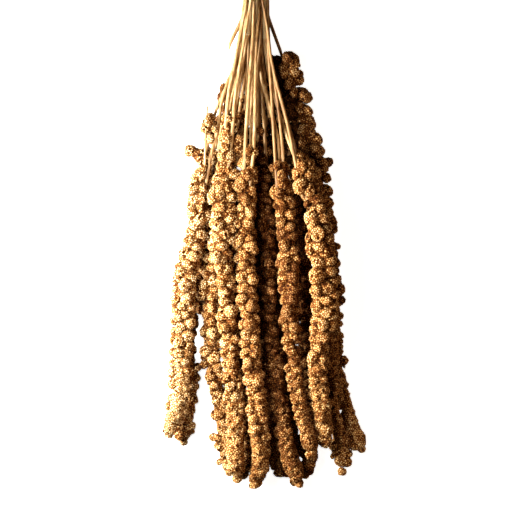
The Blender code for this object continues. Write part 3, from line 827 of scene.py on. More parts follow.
patchy = bpy.data.node_groups.new("patchy_plant", "ShaderNodeTree")
for socket, value in (("Patch Scale", 30.0), ("Fleck Scale", 900.0), ("Fleck Share", 0.3)):
    patchy.interface.new_socket(socket, in_out="INPUT", socket_type="NodeSocketFloat").default_value = value
patchy.interface.new_socket("Place", in_out="INPUT", socket_type="NodeSocketVector")
for socket in ("Tone", "Fleck"):
    patchy.interface.new_socket(socket, in_out="OUTPUT", socket_type="NodeSocketFloat")
given = add_node(patchy, "NodeGroupInput", -600, 0)
given_out = add_node(patchy, "NodeGroupOutput", 600, 0)
patch = add_node(patchy, "ShaderNodeTexNoise", -300, 150)
patch.inputs["Detail"].default_value = 3.0
fleck = add_node(patchy, "ShaderNodeTexNoise", -300, -150)
fleck.inputs["Detail"].default_value = 2.0
both = add_node(patchy, "ShaderNodeMix", 100, 100)
patchy.links.new(given.outputs["Place"], patch.inputs["Vector"])
patchy.links.new(given.outputs["Place"], fleck.inputs["Vector"])
patchy.links.new(given.outputs["Patch Scale"], patch.inputs["Scale"])
patchy.links.new(given.outputs["Fleck Scale"], fleck.inputs["Scale"])
patchy.links.new(given.outputs["Fleck Share"], both.inputs["Factor"])
patchy.links.new(patch.outputs["Fac"], both.inputs["A"])
patchy.links.new(fleck.outputs["Fac"], both.inputs["B"])
patchy.links.new(both.outputs["Result"], given_out.inputs["Tone"])
patchy.links.new(fleck.outputs["Fac"], given_out.inputs["Fleck"])
print("the shared group takes", [item.name for item in patchy.interface.items_tree if item.in_out == "INPUT"])


# %% Parts that each finish is wired from
# Most of a noise's values lie between these
FLECK_RANGE = (0.3, 0.7)


def new_finish(name):
    """A new material, its node tree and its shader."""
    material = bpy.data.materials.new(name)
    material.use_nodes = True
    tree = material.node_tree
    return material, tree, tree.nodes["Principled BSDF"]


def add_patches(tree, patch_scale, fleck_scale, fleck_share, place):
    """The shared group with this material's own values."""
    group = add_node(tree, "ShaderNodeGroup", -900, -200, node_tree=patchy)
    values = {"Patch Scale": patch_scale, "Fleck Scale": fleck_scale, "Fleck Share": fleck_share}
    for name, value in values.items():
        group.inputs[name].default_value = value
    tree.links.new(place, group.inputs["Place"])
    return group


def add_ramp(tree, x, y, source, stops):
    """A colour for each value of the source, through places and colours."""
    ramp = add_node(tree, "ShaderNodeValToRGB", x, y)
    while len(ramp.color_ramp.elements) < len(stops):
        ramp.color_ramp.elements.new(0.5)
    for element, (place, colour) in zip(ramp.color_ramp.elements, stops):
        element.position = place
        element.color = (*colour, 1)
    tree.links.new(source, ramp.inputs["Fac"])
    return ramp.outputs["Color"]


def add_mixed(tree, x, y, how, factor, first, second):
    """Two colours mixed, by a plain factor or by one from a node."""
    mix = add_node(tree, "ShaderNodeMix", x, y, data_type="RGBA", blend_type=how)
    for value, socket in ((factor, mix.inputs["Factor"]), (first, mix.inputs[6]), (second, mix.inputs[7])):
        if isinstance(value, bpy.types.NodeSocket):
            tree.links.new(value, socket)
        else:
            socket.default_value = value
    return mix.outputs[2]


def add_range(tree, x, y, source, low, high, to_low, to_high):
    """The source, with low to high spread from to_low to to_high."""
    spread = add_node(tree, "ShaderNodeMapRange", x, y)
    for name, value in (("From Min", low), ("From Max", high), ("To Min", to_low), ("To Max", to_high)):
        spread.inputs[name].default_value = value
    tree.links.new(source, spread.inputs["Value"])
    return spread.outputs["Result"]


def add_growth(tree):
    """The three numbers that each face corner carries."""
    growth = add_node(tree, "ShaderNodeAttribute", -1300, 200, attribute_name="growth")
    apart = add_node(tree, "ShaderNodeSeparateXYZ", -1100, 200)
    tree.links.new(growth.outputs["Vector"], apart.inputs["Vector"])
    return growth.outputs["Vector"], apart.outputs


def wire_shader(tree, shader, colour, patches, roughness, relief, depth, strength):
    """Gives the shader its colour, a roughness that follows the flecks, and fine relief from an output."""
    tree.links.new(colour, shader.inputs["Base Color"])
    rough = add_range(tree, -400, 0, patches.outputs["Fleck"], *FLECK_RANGE, *roughness)
    tree.links.new(rough, shader.inputs["Roughness"])
    bump = add_node(tree, "ShaderNodeBump", -250, -450)
    bump.inputs["Strength"].default_value = strength
    bump.inputs["Distance"].default_value = depth
    tree.links.new(patches.outputs[relief], bump.inputs["Height"])
    tree.links.new(bump.outputs["Normal"], shader.inputs["Normal"])
    print("the finish has", len(tree.nodes), "nodes")


# %% Millet grains
# From the pit beside a grain (0), painted dark as shade, to its top (1)
HUSK_WITH_PIT_SHADE = [(0.0, (0.014, 0.005, 0.001)), (0.18, (0.10, 0.032, 0.007)), (0.36, (0.43, 0.22, 0.068)),
        (0.66, (0.86, 0.755, 0.51))]
# From the darkest grains to the lightest; grains deep in a crease are painted dark as shade
GRAIN = [(0.0, (0.14, 0.06, 0.02)), (0.16, (0.50, 0.34, 0.20)), (0.42, (0.90, 0.81, 0.66)),
         (1.0, (1.0, 1.0, 1.0))]
# From the clusters with the most painted shade to those with painted light
CLUSTER = [(0.0, (0.06, 0.03, 0.017)), (0.15, (0.27, 0.16, 0.10)), (0.4, (0.78, 0.62, 0.46)),
           (0.7, (0.95, 0.87, 0.77)), (1.0, (1.0, 1.0, 1.0))]
DRIFT = [(0.3, (0.85, 0.79, 0.72)), (0.6, (1, 1, 1))]
HUSK_SHEEN, HUSK_SHEEN_TINT = 0.12, (0.9, 0.5, 0.25, 1)

grain_finish, tree, shader = new_finish("millet_grain")
_, (height, grain_tone_and_crease_shade, cluster_tone_and_painted_shading) = add_growth(tree)
place = add_node(tree, "ShaderNodeTexCoord", -1300, -200).outputs["Object"]
patches = add_patches(tree, patch_scale=28.0, fleck_scale=1100.0, fleck_share=0.35, place=place)
# The husk's colour, with painted shade towards each pit
husk_with_pit_shade = add_ramp(tree, -800, 300, height, HUSK_WITH_PIT_SHADE)
grain = add_ramp(tree, -800, 550, grain_tone_and_crease_shade, GRAIN)
cluster = add_ramp(tree, -800, 800, cluster_tone_and_painted_shading, CLUSTER)
drift = add_ramp(tree, -600, -200, patches.outputs["Tone"], DRIFT)
colour = husk_with_pit_shade
for x, tint in ((-400, grain), (-250, cluster), (-100, drift)):
    colour = add_mixed(tree, x, 400, "MULTIPLY", 1.0, colour, tint)
shader.inputs["Specular IOR Level"].default_value = HUSK_SHEEN
shader.inputs["Specular Tint"].default_value = HUSK_SHEEN_TINT
wire_shader(tree, shader, colour, patches,
            roughness=(0.52, 0.8), relief="Fleck", depth=0.12 * MM, strength=0.5)

# %% Dry straw
# From the dark streaks to the light ones, and from a straw painted brown as shade (0) to an unshaded one (1)
STREAKS = [(0.34, (0.10, 0.039, 0.009)), (0.43, (0.29, 0.145, 0.042)), (0.52, (0.49, 0.295, 0.12)),
           (0.63, (0.63, 0.47, 0.265))]
STRAW_TONE_AND_SHADE = [(0.0, (0.30, 0.20, 0.12)), (0.5, (0.72, 0.62, 0.50)), (1.0, (1.0, 1.0, 1.0))]
STREAK_LENGTHENED, SPOT_SCALE, SPOT_DETAIL = (1.0, 0.016, 1.0), 55.0, 4.0
# Where in its source each begins and is full, its share there, and its colour
SPOTS = (0.58, 0.72, 0.6, (0.12, 0.045, 0.010, 1))
JOINTS = (0.2, 0.9, 0.8, (0.34, 0.18, 0.07, 1))
SHEATHED = (1.2, 1.8, 0.7, (0.50, 0.40, 0.23, 1))
CUT = (-0.2, -0.9, 1.0, (0.20, 0.12, 0.06, 1))

straw_finish, tree, shader = new_finish("dry_straw")
_, (straw_light, _, mark) = add_growth(tree)
place = add_node(tree, "ShaderNodeTexCoord", -1500, -200).outputs["Object"]
drawn_out = add_node(tree, "ShaderNodeMapping", -1300, -200)
drawn_out.inputs["Scale"].default_value = STREAK_LENGTHENED
tree.links.new(place, drawn_out.inputs["Vector"])
drawn_place = drawn_out.outputs["Vector"]
patches = add_patches(tree, patch_scale=600.0, fleck_scale=2600.0, fleck_share=0.45, place=drawn_place)
colour = add_ramp(tree, -800, 300, patches.outputs["Tone"], STREAKS)
spots = add_node(tree, "ShaderNodeTexNoise", -900, 600)
spots.inputs["Scale"].default_value = SPOT_SCALE
spots.inputs["Detail"].default_value = SPOT_DETAIL
tree.links.new(place, spots.inputs["Vector"])
tints = ((spots.outputs["Fac"], SPOTS), (mark, JOINTS), (mark, SHEATHED), (mark, CUT))
for k, (source, (begins, full, strongest, shade)) in enumerate(tints):
    tint_share = add_range(tree, -700, 600 + 200 * k, source, begins, full, 0.0, strongest)
    colour = add_mixed(tree, 100 * k - 400, 400, "MIX", tint_share, colour, shade)
straw_toned_and_shaded = add_ramp(tree, -400, 700, straw_light, STRAW_TONE_AND_SHADE)
colour = add_mixed(tree, 0, 500, "MULTIPLY", 1.0, colour, straw_toned_and_shaded)
wire_shader(tree, shader, colour, patches,
            roughness=(0.48, 0.68), relief="Tone", depth=0.25 * MM, strength=0.6)

# %% Twine
FIBRES = [(0.30, (0.16, 0.09, 0.035)), (0.5, (0.42, 0.27, 0.12)), (0.7, (0.66, 0.49, 0.27))]
FIBRE_SCALE = (6.0, 0.35, 0.0)

twine_finish, tree, shader = new_finish("rough_twine")
growth, _ = add_growth(tree)
fibre_place = add_node(tree, "ShaderNodeMapping", -1100, -200)
fibre_place.inputs["Scale"].default_value = FIBRE_SCALE
tree.links.new(growth, fibre_place.inputs["Vector"])
fibres = fibre_place.outputs["Vector"]
patches = add_patches(tree, patch_scale=1.0, fleck_scale=4.0, fleck_share=0.6, place=fibres)
colour = add_ramp(tree, -800, 300, patches.outputs["Tone"], FIBRES)
wire_shader(tree, shader, colour, patches,
            roughness=(0.8, 0.98), relief="Tone", depth=0.2 * MM, strength=0.8)

# %% [markdown]
# ## What differs from head to head
#
# The heads are of one kind, but each has its own place. The ones at the back and in the middle of
# the bunch are painted browner as shade, which the lamps alone wouldn't show, and the ones at the left are
# painted lighter as light. Most of the ones on the floor are fuller, because nothing lifts their clusters
# apart. Single clusters also stick out beside a head, or fill a corner behind it as clusters painted near
# black as shade, where the photograph shows them, and two heads have a bare stretch beside the slit to the
# next one.

# %% How full and how light each head is
FULL_HEADS, FULLER_BY = ("head_08", "head_11", "head_12", "head_13", "head_14"), 1.3
# At its base, middle and tip
TONE_PLACES = [0.0, 0.5, 1.0]
# Each head's painted shading: above 1 painted light, below 1 painted shade
HEAD_PAINTED_SHADING = {
    "head_01": (1.8, 1.4, 2.1), "head_02": (1.5, 1.2, 1.9), "head_03": (1.0, 0.82, 0.84),
    "head_04": (1.05, 1.0, 0.92), "head_05": (0.66, 0.58, 0.63), "head_06": (0.25, 0.22, 0.38),
    "head_07": (0.42, 0.40, 0.48), "head_08": (0.2, 0.2, 0.45), "head_09": (0.80, 0.74, 0.70),
    "head_10": (0.45, 0.45, 0.8), "head_11": (0.56, 0.84, 0.85), "head_12": (0.2, 0.18, 0.36),
    "head_13": (0.36, 0.38, 0.6), "head_14": (0.2, 0.18, 0.28)}


def toned(lobe, name):
    """The cluster with the painted light and shade that its head has there."""
    axis = shapes[name].axis
    share = axis.nearest(lobe.centre) / axis.length
    return lobe._replace(tone=lobe.tone * np.interp(share, TONE_PLACES, HEAD_PAINTED_SHADING[name]))


print("the darkest head is", min(HEAD_PAINTED_SHADING, key=lambda name: sum(HEAD_PAINTED_SHADING[name])))

# %% Clusters beside a head
SIDE_SPREAD, SIDE_SWAY, SIDE_LONGER = (0.9, 1.1), 0.8, 1.1
# Each row, in mm: first and last place and step along the head, how far to the side (+X) and beyond, girth;
# and last the tone, which where it is low is painted shade that makes the clusters near black
SIDE_CLUSTERS = {
    "head_01": [(25, 25.5, 9, -12.0, 0, 5.0, 1.0), (27, 27.5, 9, -7.5, 0, 4.4, 1.0),
        (112, 222, 8.5, -6.4, 0, 4.6, 1.0), (248, 249, 9, 5.4, 3, 4.2, 1.0),
        (252, 253, 9, -3.0, 2, 3.6, 1.0), (248, 249, 9, 5.8, 12, 3.6, 1.0),
        (226, 240, 7, -5.2, 0, 4.4, 1.0), (248, 249, 9, 5.6, 7.5, 4.0, 1.0)],
    "head_02": [(104, 136, 7.0, 8.0, 0, 4.6, 0.0), (80, 94, 7.0, 5.5, 0, 5.0, 0.2),
        (62, 78, 7, 7.5, 0, 4.8, 0.2)],
    "head_03": [(22, 32, 8, 7.5, 0, 5.2, 0.9), (50, 108, 8.5, 8.0, 0, 5.4, 0.9)],
    "head_04": [(166, 167, 9, -8.0, 0, 3.2, 1.0), (168, 169, 9, -11.5, 0, 2.8, 1.0),
        (174, 180, 5, 6.0, 0, 4.4, 0.3)],
    "head_08": [(6, 60, 8.0, 8.0, 0, 4.8, 0.05), (6, 60, 8.0, -7.5, 0, 4.6, 0.1),
        (225, 240, 6, -6.0, 0, 4.6, 0.25), (38, 50, 6, -2.0, 0, 4.8, 0.15),
        (232, 240, 6, -3.5, 0, 4.8, 0.3), (218, 230, 7, 8.5, 0, 4.6, 0.3)],
    "head_09": [(220, 221, 5, -4.0, 2, 5.0, 0.8), (220, 221, 5, -1.0, 6, 4.6, 0.8),
        (18, 130, 8.5, 7.0, 0, 5.4, 0.8)],
    "head_10": [(236, 256, 6, 3.5, 0, 5.0, 0.7), (254, 255, 9, 1.0, 7, 4.4, 0.7)],
    "head_11": [(2, 90, 6.5, -6.0, 0, 5.2, 0.1), (2, 100, 7.0, -12.5, 0, 5.0, 0.04),
        (20, 90, 7.5, -19.0, 0, 4.8, 0.02), (134, 150, 8, 6.2, 0, 5.0, 0.5),
        (163, 173, 9, 6.4, 0, 5.0, 0.5), (192, 202, 9, 6.0, 0, 5.0, 0.5), (252, 256, 9, 5.0, 0, 4.6, 0.5),
        (300, 320, 6, -5.5, 0, 4.6, 0.5), (120, 200, 9.5, 4.5, 0, 5.2, 0.8), (89, 90, 9, 11.0, 0, 4.2, 0.5),
        (34, 42, 8.0, 7.0, 0, 4.8, 0.5), (320, 321, 9, -8.5, 0, 4.4, 0.5), (278, 292, 6, -8.0, 0, 4.8, 0.3),
        (316, 317, 9, -3.0, 6, 4.6, 0.6)],
    "head_12": [(286, 310, 7, 4.0, 0, 4.4, 0.4), (26, 66, 8.0, -9.0, 0, 5.2, 0.5),
        (20, 62, 9.0, 7.0, 0, 4.8, 0.1), (186, 192, 7, 12.0, 0, 5.0, 0.1), (250, 256, 7, 2.0, 0, 5.2, 0.2)],
    "head_13": [(298, 302, 5, -2.5, 5, 5.2, 0.8), (300, 301, 5, -3.5, 10, 4.6, 0.8),
        (300, 301, 5, -4.0, 12, 4.8, 0.7), (196, 244, 8.0, 4.8, 0, 4.8, 0.25),
        (160, 172, 6, -11.0, 0, 4.8, 0.2), (195, 205, 6, -13.5, 0, 4.8, 0.2),
        (226, 240, 6, 0.5, 0, 5.2, 0.3), (240, 250, 6, -8.0, 0, 4.8, 0.3),
        (299, 300, 5, -1.0, 8, 5.0, 0.7)],
    "head_14": [(8, 80, 7.5, 7.0, 0, 4.8, 0.05), (10, 60, 8.0, -6.0, 0, 4.8, 0.1),
        (288, 302, 6, -4.5, 3, 4.4, 0.4), (296, 297, 5, 3.0, 6, 4.4, 0.4), (62, 90, 9.0, 5.5, 0, 4.8, 0.05),
        (299, 300, 5, -8.5, 8, 4.4, 0.4), (300, 301, 5, 3.5, 13, 4.8, 0.4), (286, 287, 5, 7.5, 0, 4.6, 0.3),
        (298, 299, 5, -3.5, 8, 4.8, 0.4), (298, 299, 5, 5.0, 10, 4.6, 0.4)]}


def side_clusters(head, rng):
    """Stalked clusters beside one head, level with it or resting on the floor."""
    lobes, axis = [], shapes[head].axis
    for first, last, step, aside, beyond, girth, tone in SIDE_CLUSTERS.get(head, []):
        way = np.array([math.copysign(1.0, aside), 0.0, 0.0])
        for along in np.arange(first, last, step) * MM:
            size = girth * rng.uniform(*SIDE_SPREAD) * MM
            away = np.array([aside + rng.uniform(-SIDE_SWAY, SIDE_SWAY), rng.uniform(-1.0, 1.0) - beyond,
                             rng.uniform(-1.0, 1.0)])
            centre = above_floor(axis.at(along) + away * MM, size, SIDE_LONGER * size, way)
            lobes.append(Lobe(centre, way, size, SIDE_LONGER * size, True, tone))
    return lobes


print("rows of side clusters", {head: len(rows) for head, rows in SIDE_CLUSTERS.items()})

# %% Bare stretches
# From and to where a head has no clusters on its +X side, and how far out that side starts, in mm
BARE_STRETCHES, BARE_OUT = {"head_01": (240, 262), "head_02": (134, 178)}, 1.5


def on_bare_side(lobe, head):
    """Whether a cluster is where its head has none."""
    if head not in BARE_STRETCHES:
        return False
    axis, (first, last) = shapes[head].axis, BARE_STRETCHES[head]
    along = axis.nearest(lobe.centre)
    return first * MM < along < last * MM and (lobe.centre - axis.at(along))[0] > BARE_OUT * MM


print("heads with a bare stretch", sorted(BARE_STRETCHES))

# %% Build the heads
rng = np.random.default_rng(7)
for name in HEADS:
    shape = shapes[name]
    fullness = FULLER_BY if name in FULL_HEADS else 1.0
    lobes = clusters_of_head(shape, rng, fullness) + filling_of_head(shape, rng)
    lobes = [toned(lobe, name) for lobe in lobes if not on_bare_side(lobe, name)] + side_clusters(name, rng)
    parts = grains_of_head(lobes, rng) + straw_of_head(shape, lobes, rng)
    add_piece("millet_" + name, name, parts, [grain_finish, straw_finish])
print("head triangles", sum(pieces_made.values()), "largest", max(pieces_made.values()))

# %% [markdown]
# ## Stems and bare straws
#
# A stem follows its CAD solid, a little thinner, because the solid is the stem with its bumps. It is a
# hollow tube with a growth joint on some, and three stems and a bare straw still wear a dry leaf sheath,
# which is a wavy second tube round a stretch of them. Straws on the right of the bunch are painted brown
# as shade, and those on the left stay pale.

# %% How much painted shade a straw gets, by its place across the bunch
# The places across, in mm, are taken 50 mm below the tie
# Straws towards the right of the bunch are painted darker as shade
STRAW_SHADE_ACROSS = ([-15.0, 0.0, 3.5, 8.0], [1.0, 0.80, 0.30, 0.22])
TONED_AT = 140 * MM
TONE_SPREAD = (0.75, 1.0)


def straw_tone(line, rng):
    """How light the straw along this line is: painted shade by its place across the bunch, and a random
    spread.
    """
    across = crossing(line, TONED_AT)[0] / MM
    return np.interp(across, *STRAW_SHADE_ACROSS) * rng.uniform(*TONE_SPREAD)


print("straws get lighter from", STRAW_SHADE_ACROSS[1][-1], "to", STRAW_SHADE_ACROSS[1][0])

# %% Build the stems and bare straws
STEM_SHARE, STEM_SPREAD = 0.92, (0.9, 1.06)
STEM_SLICE, STEM_SIDES, SHEATH_SIDES = 3 * MM, 12, 10
JOINTED_SHARE, JOINT_AT, JOINT_SWELL, JOINT_LENGTH = 0.4, (8, 30), 0.16, 1.8 * MM
# Where along them the sheathed ones are wrapped, in mm
SHEATHS = {"stem_05": (20, 92), "stem_03": (34, 84), "stem_09": (30, 88), "straw_02": (40, 98)}
SHEATH_THICK, SHEATH_WAVE, SHEATH_MARK = 0.32 * MM, 5 * MM, 2.0
StemLine = namedtuple("StemLine", "line radius")
stem_lines = {}


def stem_parts(node, rng):
    """The stem's tube, and the dry leaf sheath round it where it has one."""
    points, triangles = welded(node)
    line, reach = middle_line(points, edges_of(triangles), STEM_SLICE, 1)
    radius = STEM_SHARE * reach * rng.uniform(*STEM_SPREAD)
    stem_lines[node] = StemLine(line, radius)
    joints = [rng.uniform(*JOINT_AT) * MM] if rng.random() < JOINTED_SHARE else []
    along = run_along(line)
    for joint in joints:
        radius = radius * (1 + JOINT_SWELL * np.exp(-((along - joint) / JOINT_LENGTH) ** 2))
    parts = [tube(line, radius, STEM_SIDES, hollow_start=True, joints=joints)]
    if node in SHEATHS:
        first, last = np.array(SHEATHS[node]) * MM
        wrapped = (along > first) & (along < last)
        swell = SHEATH_THICK * (1 + 0.5 * np.sin(along[wrapped] / SHEATH_WAVE + rng.uniform(0, 6)))
        sheath = tube(line[wrapped], radius[wrapped] + swell, SHEATH_SIDES)
        sheath.growth[:, :, 2] = SHEATH_MARK
        parts.append(sheath)
    tone = straw_tone(line, rng)
    return [with_tone(part, tone) for part in parts]


for node in STEMS + STRAWS:
    add_piece("millet_" + node, node, stem_parts(node, rng), [grain_finish, straw_finish])
print("stems and bare straws", len(stem_lines), "triangles so far", sum(pieces_made.values()))

# %% [markdown]
# ## Thin straws
#
# The photograph shows more straws than heads: side stalks and thin stems that cross in front of each other
# and end among the clusters. They pass through the tie in the hollows between the thicker stems. From there
# each one runs to a head, lies on its clusters for a while and dives in between them. A short relaxation
# then moves them off the stems and off each other, slice by slice, and keeps them inside the fan that the
# thick stems make. One more short piece of straw has broken off and lies in front of the leftmost head.

# %% Hollows between the stems at the tie
TIE_PLACE = np.array([-6.5, 190.05, 13.4]) * MM
HALF_TIE = 7.0 * MM
NEXT_TO = 1.15

stem_spots = np.array([crossing(stem.line, TIE_PLACE[1]) for stem in stem_lines.values()])
stem_pitch = np.sort(np.linalg.norm(stem_spots[:, None] - stem_spots[None], axis=2), axis=1)[:, 1].mean()
hollows = []
for a in range(len(stem_spots)):
    for b in range(a):
        for c in range(b):
            trio = stem_spots[[a, b, c]]
            if max(np.linalg.norm(trio - np.roll(trio, 1, axis=0), axis=1)) < NEXT_TO * stem_pitch:
                hollows.append(trio.mean(axis=0))
print("stems at the tie are", round(stem_pitch / MM, 2), "mm apart, with", len(hollows), "hollows")

# %% Routes of the thin straws
# Each thin straw: the head it ends in, how far below the head's base, and how far to the side, in mm
THIN_STRAWS = [
    ("head_01", 56, 5.0), ("head_12", 40, -2.0), ("head_03", 26, -3.0), ("head_03", 52, 3.0),
    ("head_04", 24, 3.0), ("head_12", 62, 4.0), ("head_13", 30, -3.0), ("head_13", 56, 2.5),
    ("head_05", 20, -4.0), ("head_05", 40, 3.5), ("head_14", 36, -2.0), ("head_14", 64, 3.0),
    ("head_06", 26, -2.0), ("head_06", 44, 4.0), ("head_07", 24, -3.0), ("head_07", 12, 4.0),
    ("head_09", 30, -4.0), ("head_10", 22, -3.0), ("head_08", 16, -2.0), ("head_12", 16, 3.0),
    ("head_02", 26, 3.0), ("head_14", 18, -4.0)]
STRAW_SLICE = 4 * MM
EASING_ROUNDS = 18
# How far above the tie's middle a straw is cut, in mm, and how much the cut ends spread
CUT_ABOVE, CUT_FLARE = (27, 33), 1.22
# The shares of a head's reach that a straw lies above its axis: at its base, half way and at its end
LIFTS = (0.6, 1.0, 0.35)
LYING_ON, BEFORE_BASE, END_ASIDE = 0.92, 6 * MM, 0.8


def straw_route(hollow, head, below, aside, rng):
    """A thin straw's middle at even slices along Y, and which slices may move, before it is moved."""
    axis = shapes[head].axis
    base, half, end = axis.at(0.0), axis.at(0.5 * below * MM), axis.at(below * MM)
    lift = LYING_ON * axis.reach(0.5 * below * MM)
    flared = TIE_PLACE[[0, 2]] + CUT_FLARE * (hollow - TIE_PLACE[[0, 2]])
    knots = np.array([
        (flared[0], TIE_PLACE[1] + rng.uniform(*CUT_ABOVE) * MM, flared[1]),
        (hollow[0], TIE_PLACE[1] + HALF_TIE, hollow[1]), (hollow[0], TIE_PLACE[1] - HALF_TIE, hollow[1]),
        (base[0] + aside * MM, base[1] + BEFORE_BASE, base[2] + LIFTS[0] * lift),
        (half[0] + aside * MM, half[1], half[2] + LIFTS[1] * lift),
        (end[0] + END_ASIDE * aside * MM, end[1], end[2] + LIFTS[2] * lift)])
    y = np.arange(knots[0, 1], knots[-1, 1], -STRAW_SLICE)
    route = np.insert(crossing(knots, y), 1, y, axis=1)
    free = (y < TIE_PLACE[1] - HALF_TIE) & (y > y[-1] + STRAW_SLICE)
    for _ in range(EASING_ROUNDS):
        route[1:-1][free[1:-1]] = eased(route)[free[1:-1]]
    return route, free


# %% A hollow for each thin straw
AIM_REACH, AIM_SWAY, HOLD_TO_MIDDLE = 6 * MM, 1.2, 40
THIN_RADIUS = (0.70, 0.92)
left = list(range(len(hollows)))
routes, frees, thin_radii = [], [], []
for head, below, aside in THIN_STRAWS:
    aim = (shapes[head].axis.at(0.0) - TIE_PLACE)[[0, 2]]
    aim = aim / AIM_REACH + rng.normal(0, AIM_SWAY, 2)
    from_middle = [hollow - TIE_PLACE[[0, 2]] for hollow in hollows]
    best = max(left, key=lambda k: from_middle[k] @ aim - HOLD_TO_MIDDLE * np.sum(from_middle[k] ** 2))
    left.remove(best)
    route, free = straw_route(hollows[best], head, below, aside, rng)
    routes.append(route)
    frees.append(free)
    thin_radii.append(rng.uniform(*THIN_RADIUS) * MM)
print("the longest thin straw is", round(max(run_along(route)[-1] for route in routes) / MM), "mm long")

# %% The edges of the fan of thick stems
# The fan is read at these places along Y, in metres, and leaves out the two stems that stand apart from it
FAN_ROWS = np.linspace(0.180, 0.060, 61)
OUT_OF_FAN = ("straw_01", "stem_11")
fan = [stem.line for node, stem in stem_lines.items() if node not in OUT_OF_FAN]
fan_rows = [[crossing(line, y)[0] for line in fan if line[0, 1] > y > line[-1, 1]] for y in FAN_ROWS]
fan_low, fan_high = np.array([(min(row), max(row)) for row in fan_rows]).T
fan_width = (fan_high - fan_low) / MM
print("the fan is", round(fan_width[0]), "to", round(fan_width[-1]), "mm wide")

# %% Move the thin straws off the stems and off each other
ROUNDS, STIFF_EVERY, PUSH_SHARE = 60, 3, 0.5
ROOM, LEAST_APART_BY = 0.1 * MM, 0.05 * MM
# Thin straws are this much thicker below the tie than in it
WIDER_BELOW = 1.75


def others_beside(k, y):
    """The line and radius of every stem and thin straw but one; thin radii are those in the tie."""
    stems = [(stem.line, np.interp(-y, -stem.line[:, 1], stem.radius) / WIDER_BELOW + ROOM)
             for stem in stem_lines.values()]
    return stems + [(routes[j], thin_radii[j]) for j in range(len(routes)) if j != k]


for step in range(ROUNDS):
    for k, route in enumerate(routes):
        y = route[:, 1]
        push = np.zeros((len(y), 2))
        for line, radius in others_beside(k, y):
            there = (y < line[0, 1]) & (y > line[-1, 1])
            gap = route[:, [0, 2]] - crossing(line, y)
            far = np.maximum(np.linalg.norm(gap, axis=1), LEAST_APART_BY)
            short = np.maximum(WIDER_BELOW * (thin_radii[k] + radius) - far, 0) * there
            push += gap / far[:, None] * short[:, None]
        push = PUSH_SHARE * push * frees[k][:, None]
        route[:, 0] += push[:, 0]
        within = np.clip(route[:, 0], np.interp(-y, -FAN_ROWS, fan_low), np.interp(-y, -FAN_ROWS, fan_high))
        fanned = (y > FAN_ROWS[-1]) & (y < FAN_ROWS[0])
        route[fanned, 0] = within[fanned]
        route[:, 2] = np.maximum(route[:, 2] + push[:, 1], thin_radii[k] + ROOM)
        if step % STIFF_EVERY == 0:
            inner = frees[k][1:-1]
            route[1:-1][inner] = eased(route)[inner]
print("the last thin straw ends", round(routes[-1][-1, 2] / MM, 1), "mm above the floor")

# %% Build the thin straws and the loose one
# Thin straws get thicker between these places along Y, in metres
WIDENING, THIN_SIDES = [0.10, 0.178], 8
LOOSE_LINE = [(-45.8, 83.0, 28.0), (-46.6, 70.0, 31.0), (-47.2, 56.0, 34.0), (-47.6, 42.0, 35.0),
              (-47.6, 33.0, 33.0)]
LOOSE_RADIUS, LOOSE_TONE = 0.75 * MM, 1.0
for k, route in enumerate(routes):
    radii = thin_radii[k] * np.interp(route[:, 1], WIDENING, [WIDER_BELOW, 1.0])
    parts = [with_tone(tube(route, radii, THIN_SIDES, hollow_start=True), straw_tone(route, rng))]
    add_piece(f"thin_straw_{k + 1:02d}", None, parts, [grain_finish, straw_finish])
loose = tube(np.array(LOOSE_LINE) * MM, np.full(len(LOOSE_LINE), LOOSE_RADIUS), THIN_SIDES, hollow_start=True)
add_piece("loose_straw", None, [with_tone(loose, LOOSE_TONE)], [grain_finish, straw_finish])
print("thin straws", len(routes), "triangles so far", sum(pieces_made.values()))

# %% [markdown]
# ## The twine
#
# The twine is three strands twisted round each other. It is wound three times round the stems, knotted on
# top, and its two short tails fray at their ends. A strand is a tube that circles the twine's middle line,
# so the twist is real geometry and shows from all sides.

# %% Three strands round one line
STRAND_RADIUS, STRAND_OFFSET, LAY = 0.52 * MM, 0.50 * MM, 6.5 * MM
STRANDS, STRAND_SIDES, STRAND_STEP = 3, 7, 0.9 * MM
FRAYED_LAST, FRAYED_FROM, FRAYED_THINNER = 5 * MM, 0.3 * MM, 0.8


def evenly(points, step):
    """The same line with points at even steps, and how far along they are."""
    line = Axis(points, None)
    places = np.linspace(0, line.length, max(3, round(line.length / step)))
    return line.at(places), places


def twisted(points, fray=0.0, first_side=(0, 1, 0)):
    """Three strands that circle a line; they part over the last stretch, by the fray."""
    line, along = evenly(points, STRAND_STEP)
    frames = carried_frames(line, first_side)
    apart = STRAND_OFFSET + fray * np.clip((along - along[-1] + FRAYED_LAST) / FRAYED_LAST, 0, 1) ** 2
    strands = []
    for k in range(STRANDS):
        turn = 2 * math.pi * (along / LAY + k / STRANDS)
        offset = np.cos(turn)[:, None] * frames[:, 0] + np.sin(turn)[:, None] * frames[:, 1]
        thin = STRAND_RADIUS * np.where(apart > STRAND_OFFSET + FRAYED_FROM, FRAYED_THINNER, 1.0)
        strands.append(tube(line + apart[:, None] * offset, thin, STRAND_SIDES, first_side))
    return strands


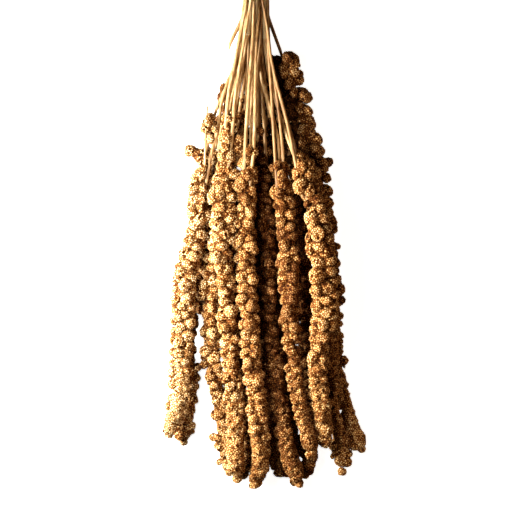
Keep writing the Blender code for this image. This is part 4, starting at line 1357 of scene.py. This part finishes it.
print("the twine is", round(2 * (STRAND_RADIUS + STRAND_OFFSET) / MM, 2), "mm thick")

# %% Turns, knot and tails
RING_RADIUS, TURNS, TURN_PITCH, POINTS_A_TURN = 12.0 * MM, 3, 2.3 * MM, 40
# How far the knot is above the tie's middle, and its scale across, along and up
KNOT_UP, KNOT_SCALE, KNOT_POINTS = 12.6 * MM, (0.70 * MM, 0.92 * MM, 0.8 * MM), 90
# A tail's end and bow, in mm from its start, and how far its start is above the knot's middle
TAIL_END, TAIL_BOW, TAIL_UP, TAIL_POINTS = (7.1, 15.3, -1.0), (2.0, 0, 1.2), 0.6 * MM, 14
TAIL_FRAY, TWINE_LOWEST = 0.7 * MM, 0.3 * MM

steps = np.linspace(0, TURNS, POINTS_A_TURN * TURNS + 1)
angle = 0.5 * math.pi + 2 * math.pi * steps
lead = (steps - 0.5 * TURNS) * TURN_PITCH
turns = TIE_PLACE + np.stack([RING_RADIUS * np.cos(angle), -lead, RING_RADIUS * np.sin(angle)], axis=1)
knot_place = TIE_PLACE + np.array([0, 0, KNOT_UP])
loop = np.linspace(0, 2 * math.pi, KNOT_POINTS)
wide, long, high = KNOT_SCALE
knot = knot_place + np.stack([wide * (np.sin(loop) + 2 * np.sin(2 * loop)),
                              long * (np.cos(loop) - 2 * np.cos(2 * loop)), -high * np.sin(3 * loop)], axis=1)
twine_parts = twisted(turns) + twisted(knot)
share = np.linspace(0, 1, TAIL_POINTS)[:, None]
for side in (-1.0, 1.0):
    mirror = np.array([side, 1, 1])
    tail = mirror * TAIL_END * share + mirror * TAIL_BOW * np.sin(math.pi * share)
    tail_start = knot_place + np.array([0, 0, TAIL_UP])
    twine_parts += twisted(tail_start + tail * MM, fray=TAIL_FRAY, first_side=(0, 0, 1))
for part in twine_parts:
    part.points[:, 2] = np.maximum(part.points[:, 2], TWINE_LOWEST)
twine_parts = [part._replace(finish=0) for part in twine_parts]
add_piece("twine_with_knot", "twine_tie", twine_parts, [twine_finish])
print("twine triangles", pieces_made["twine_with_knot"], "all", sum(pieces_made.values()))
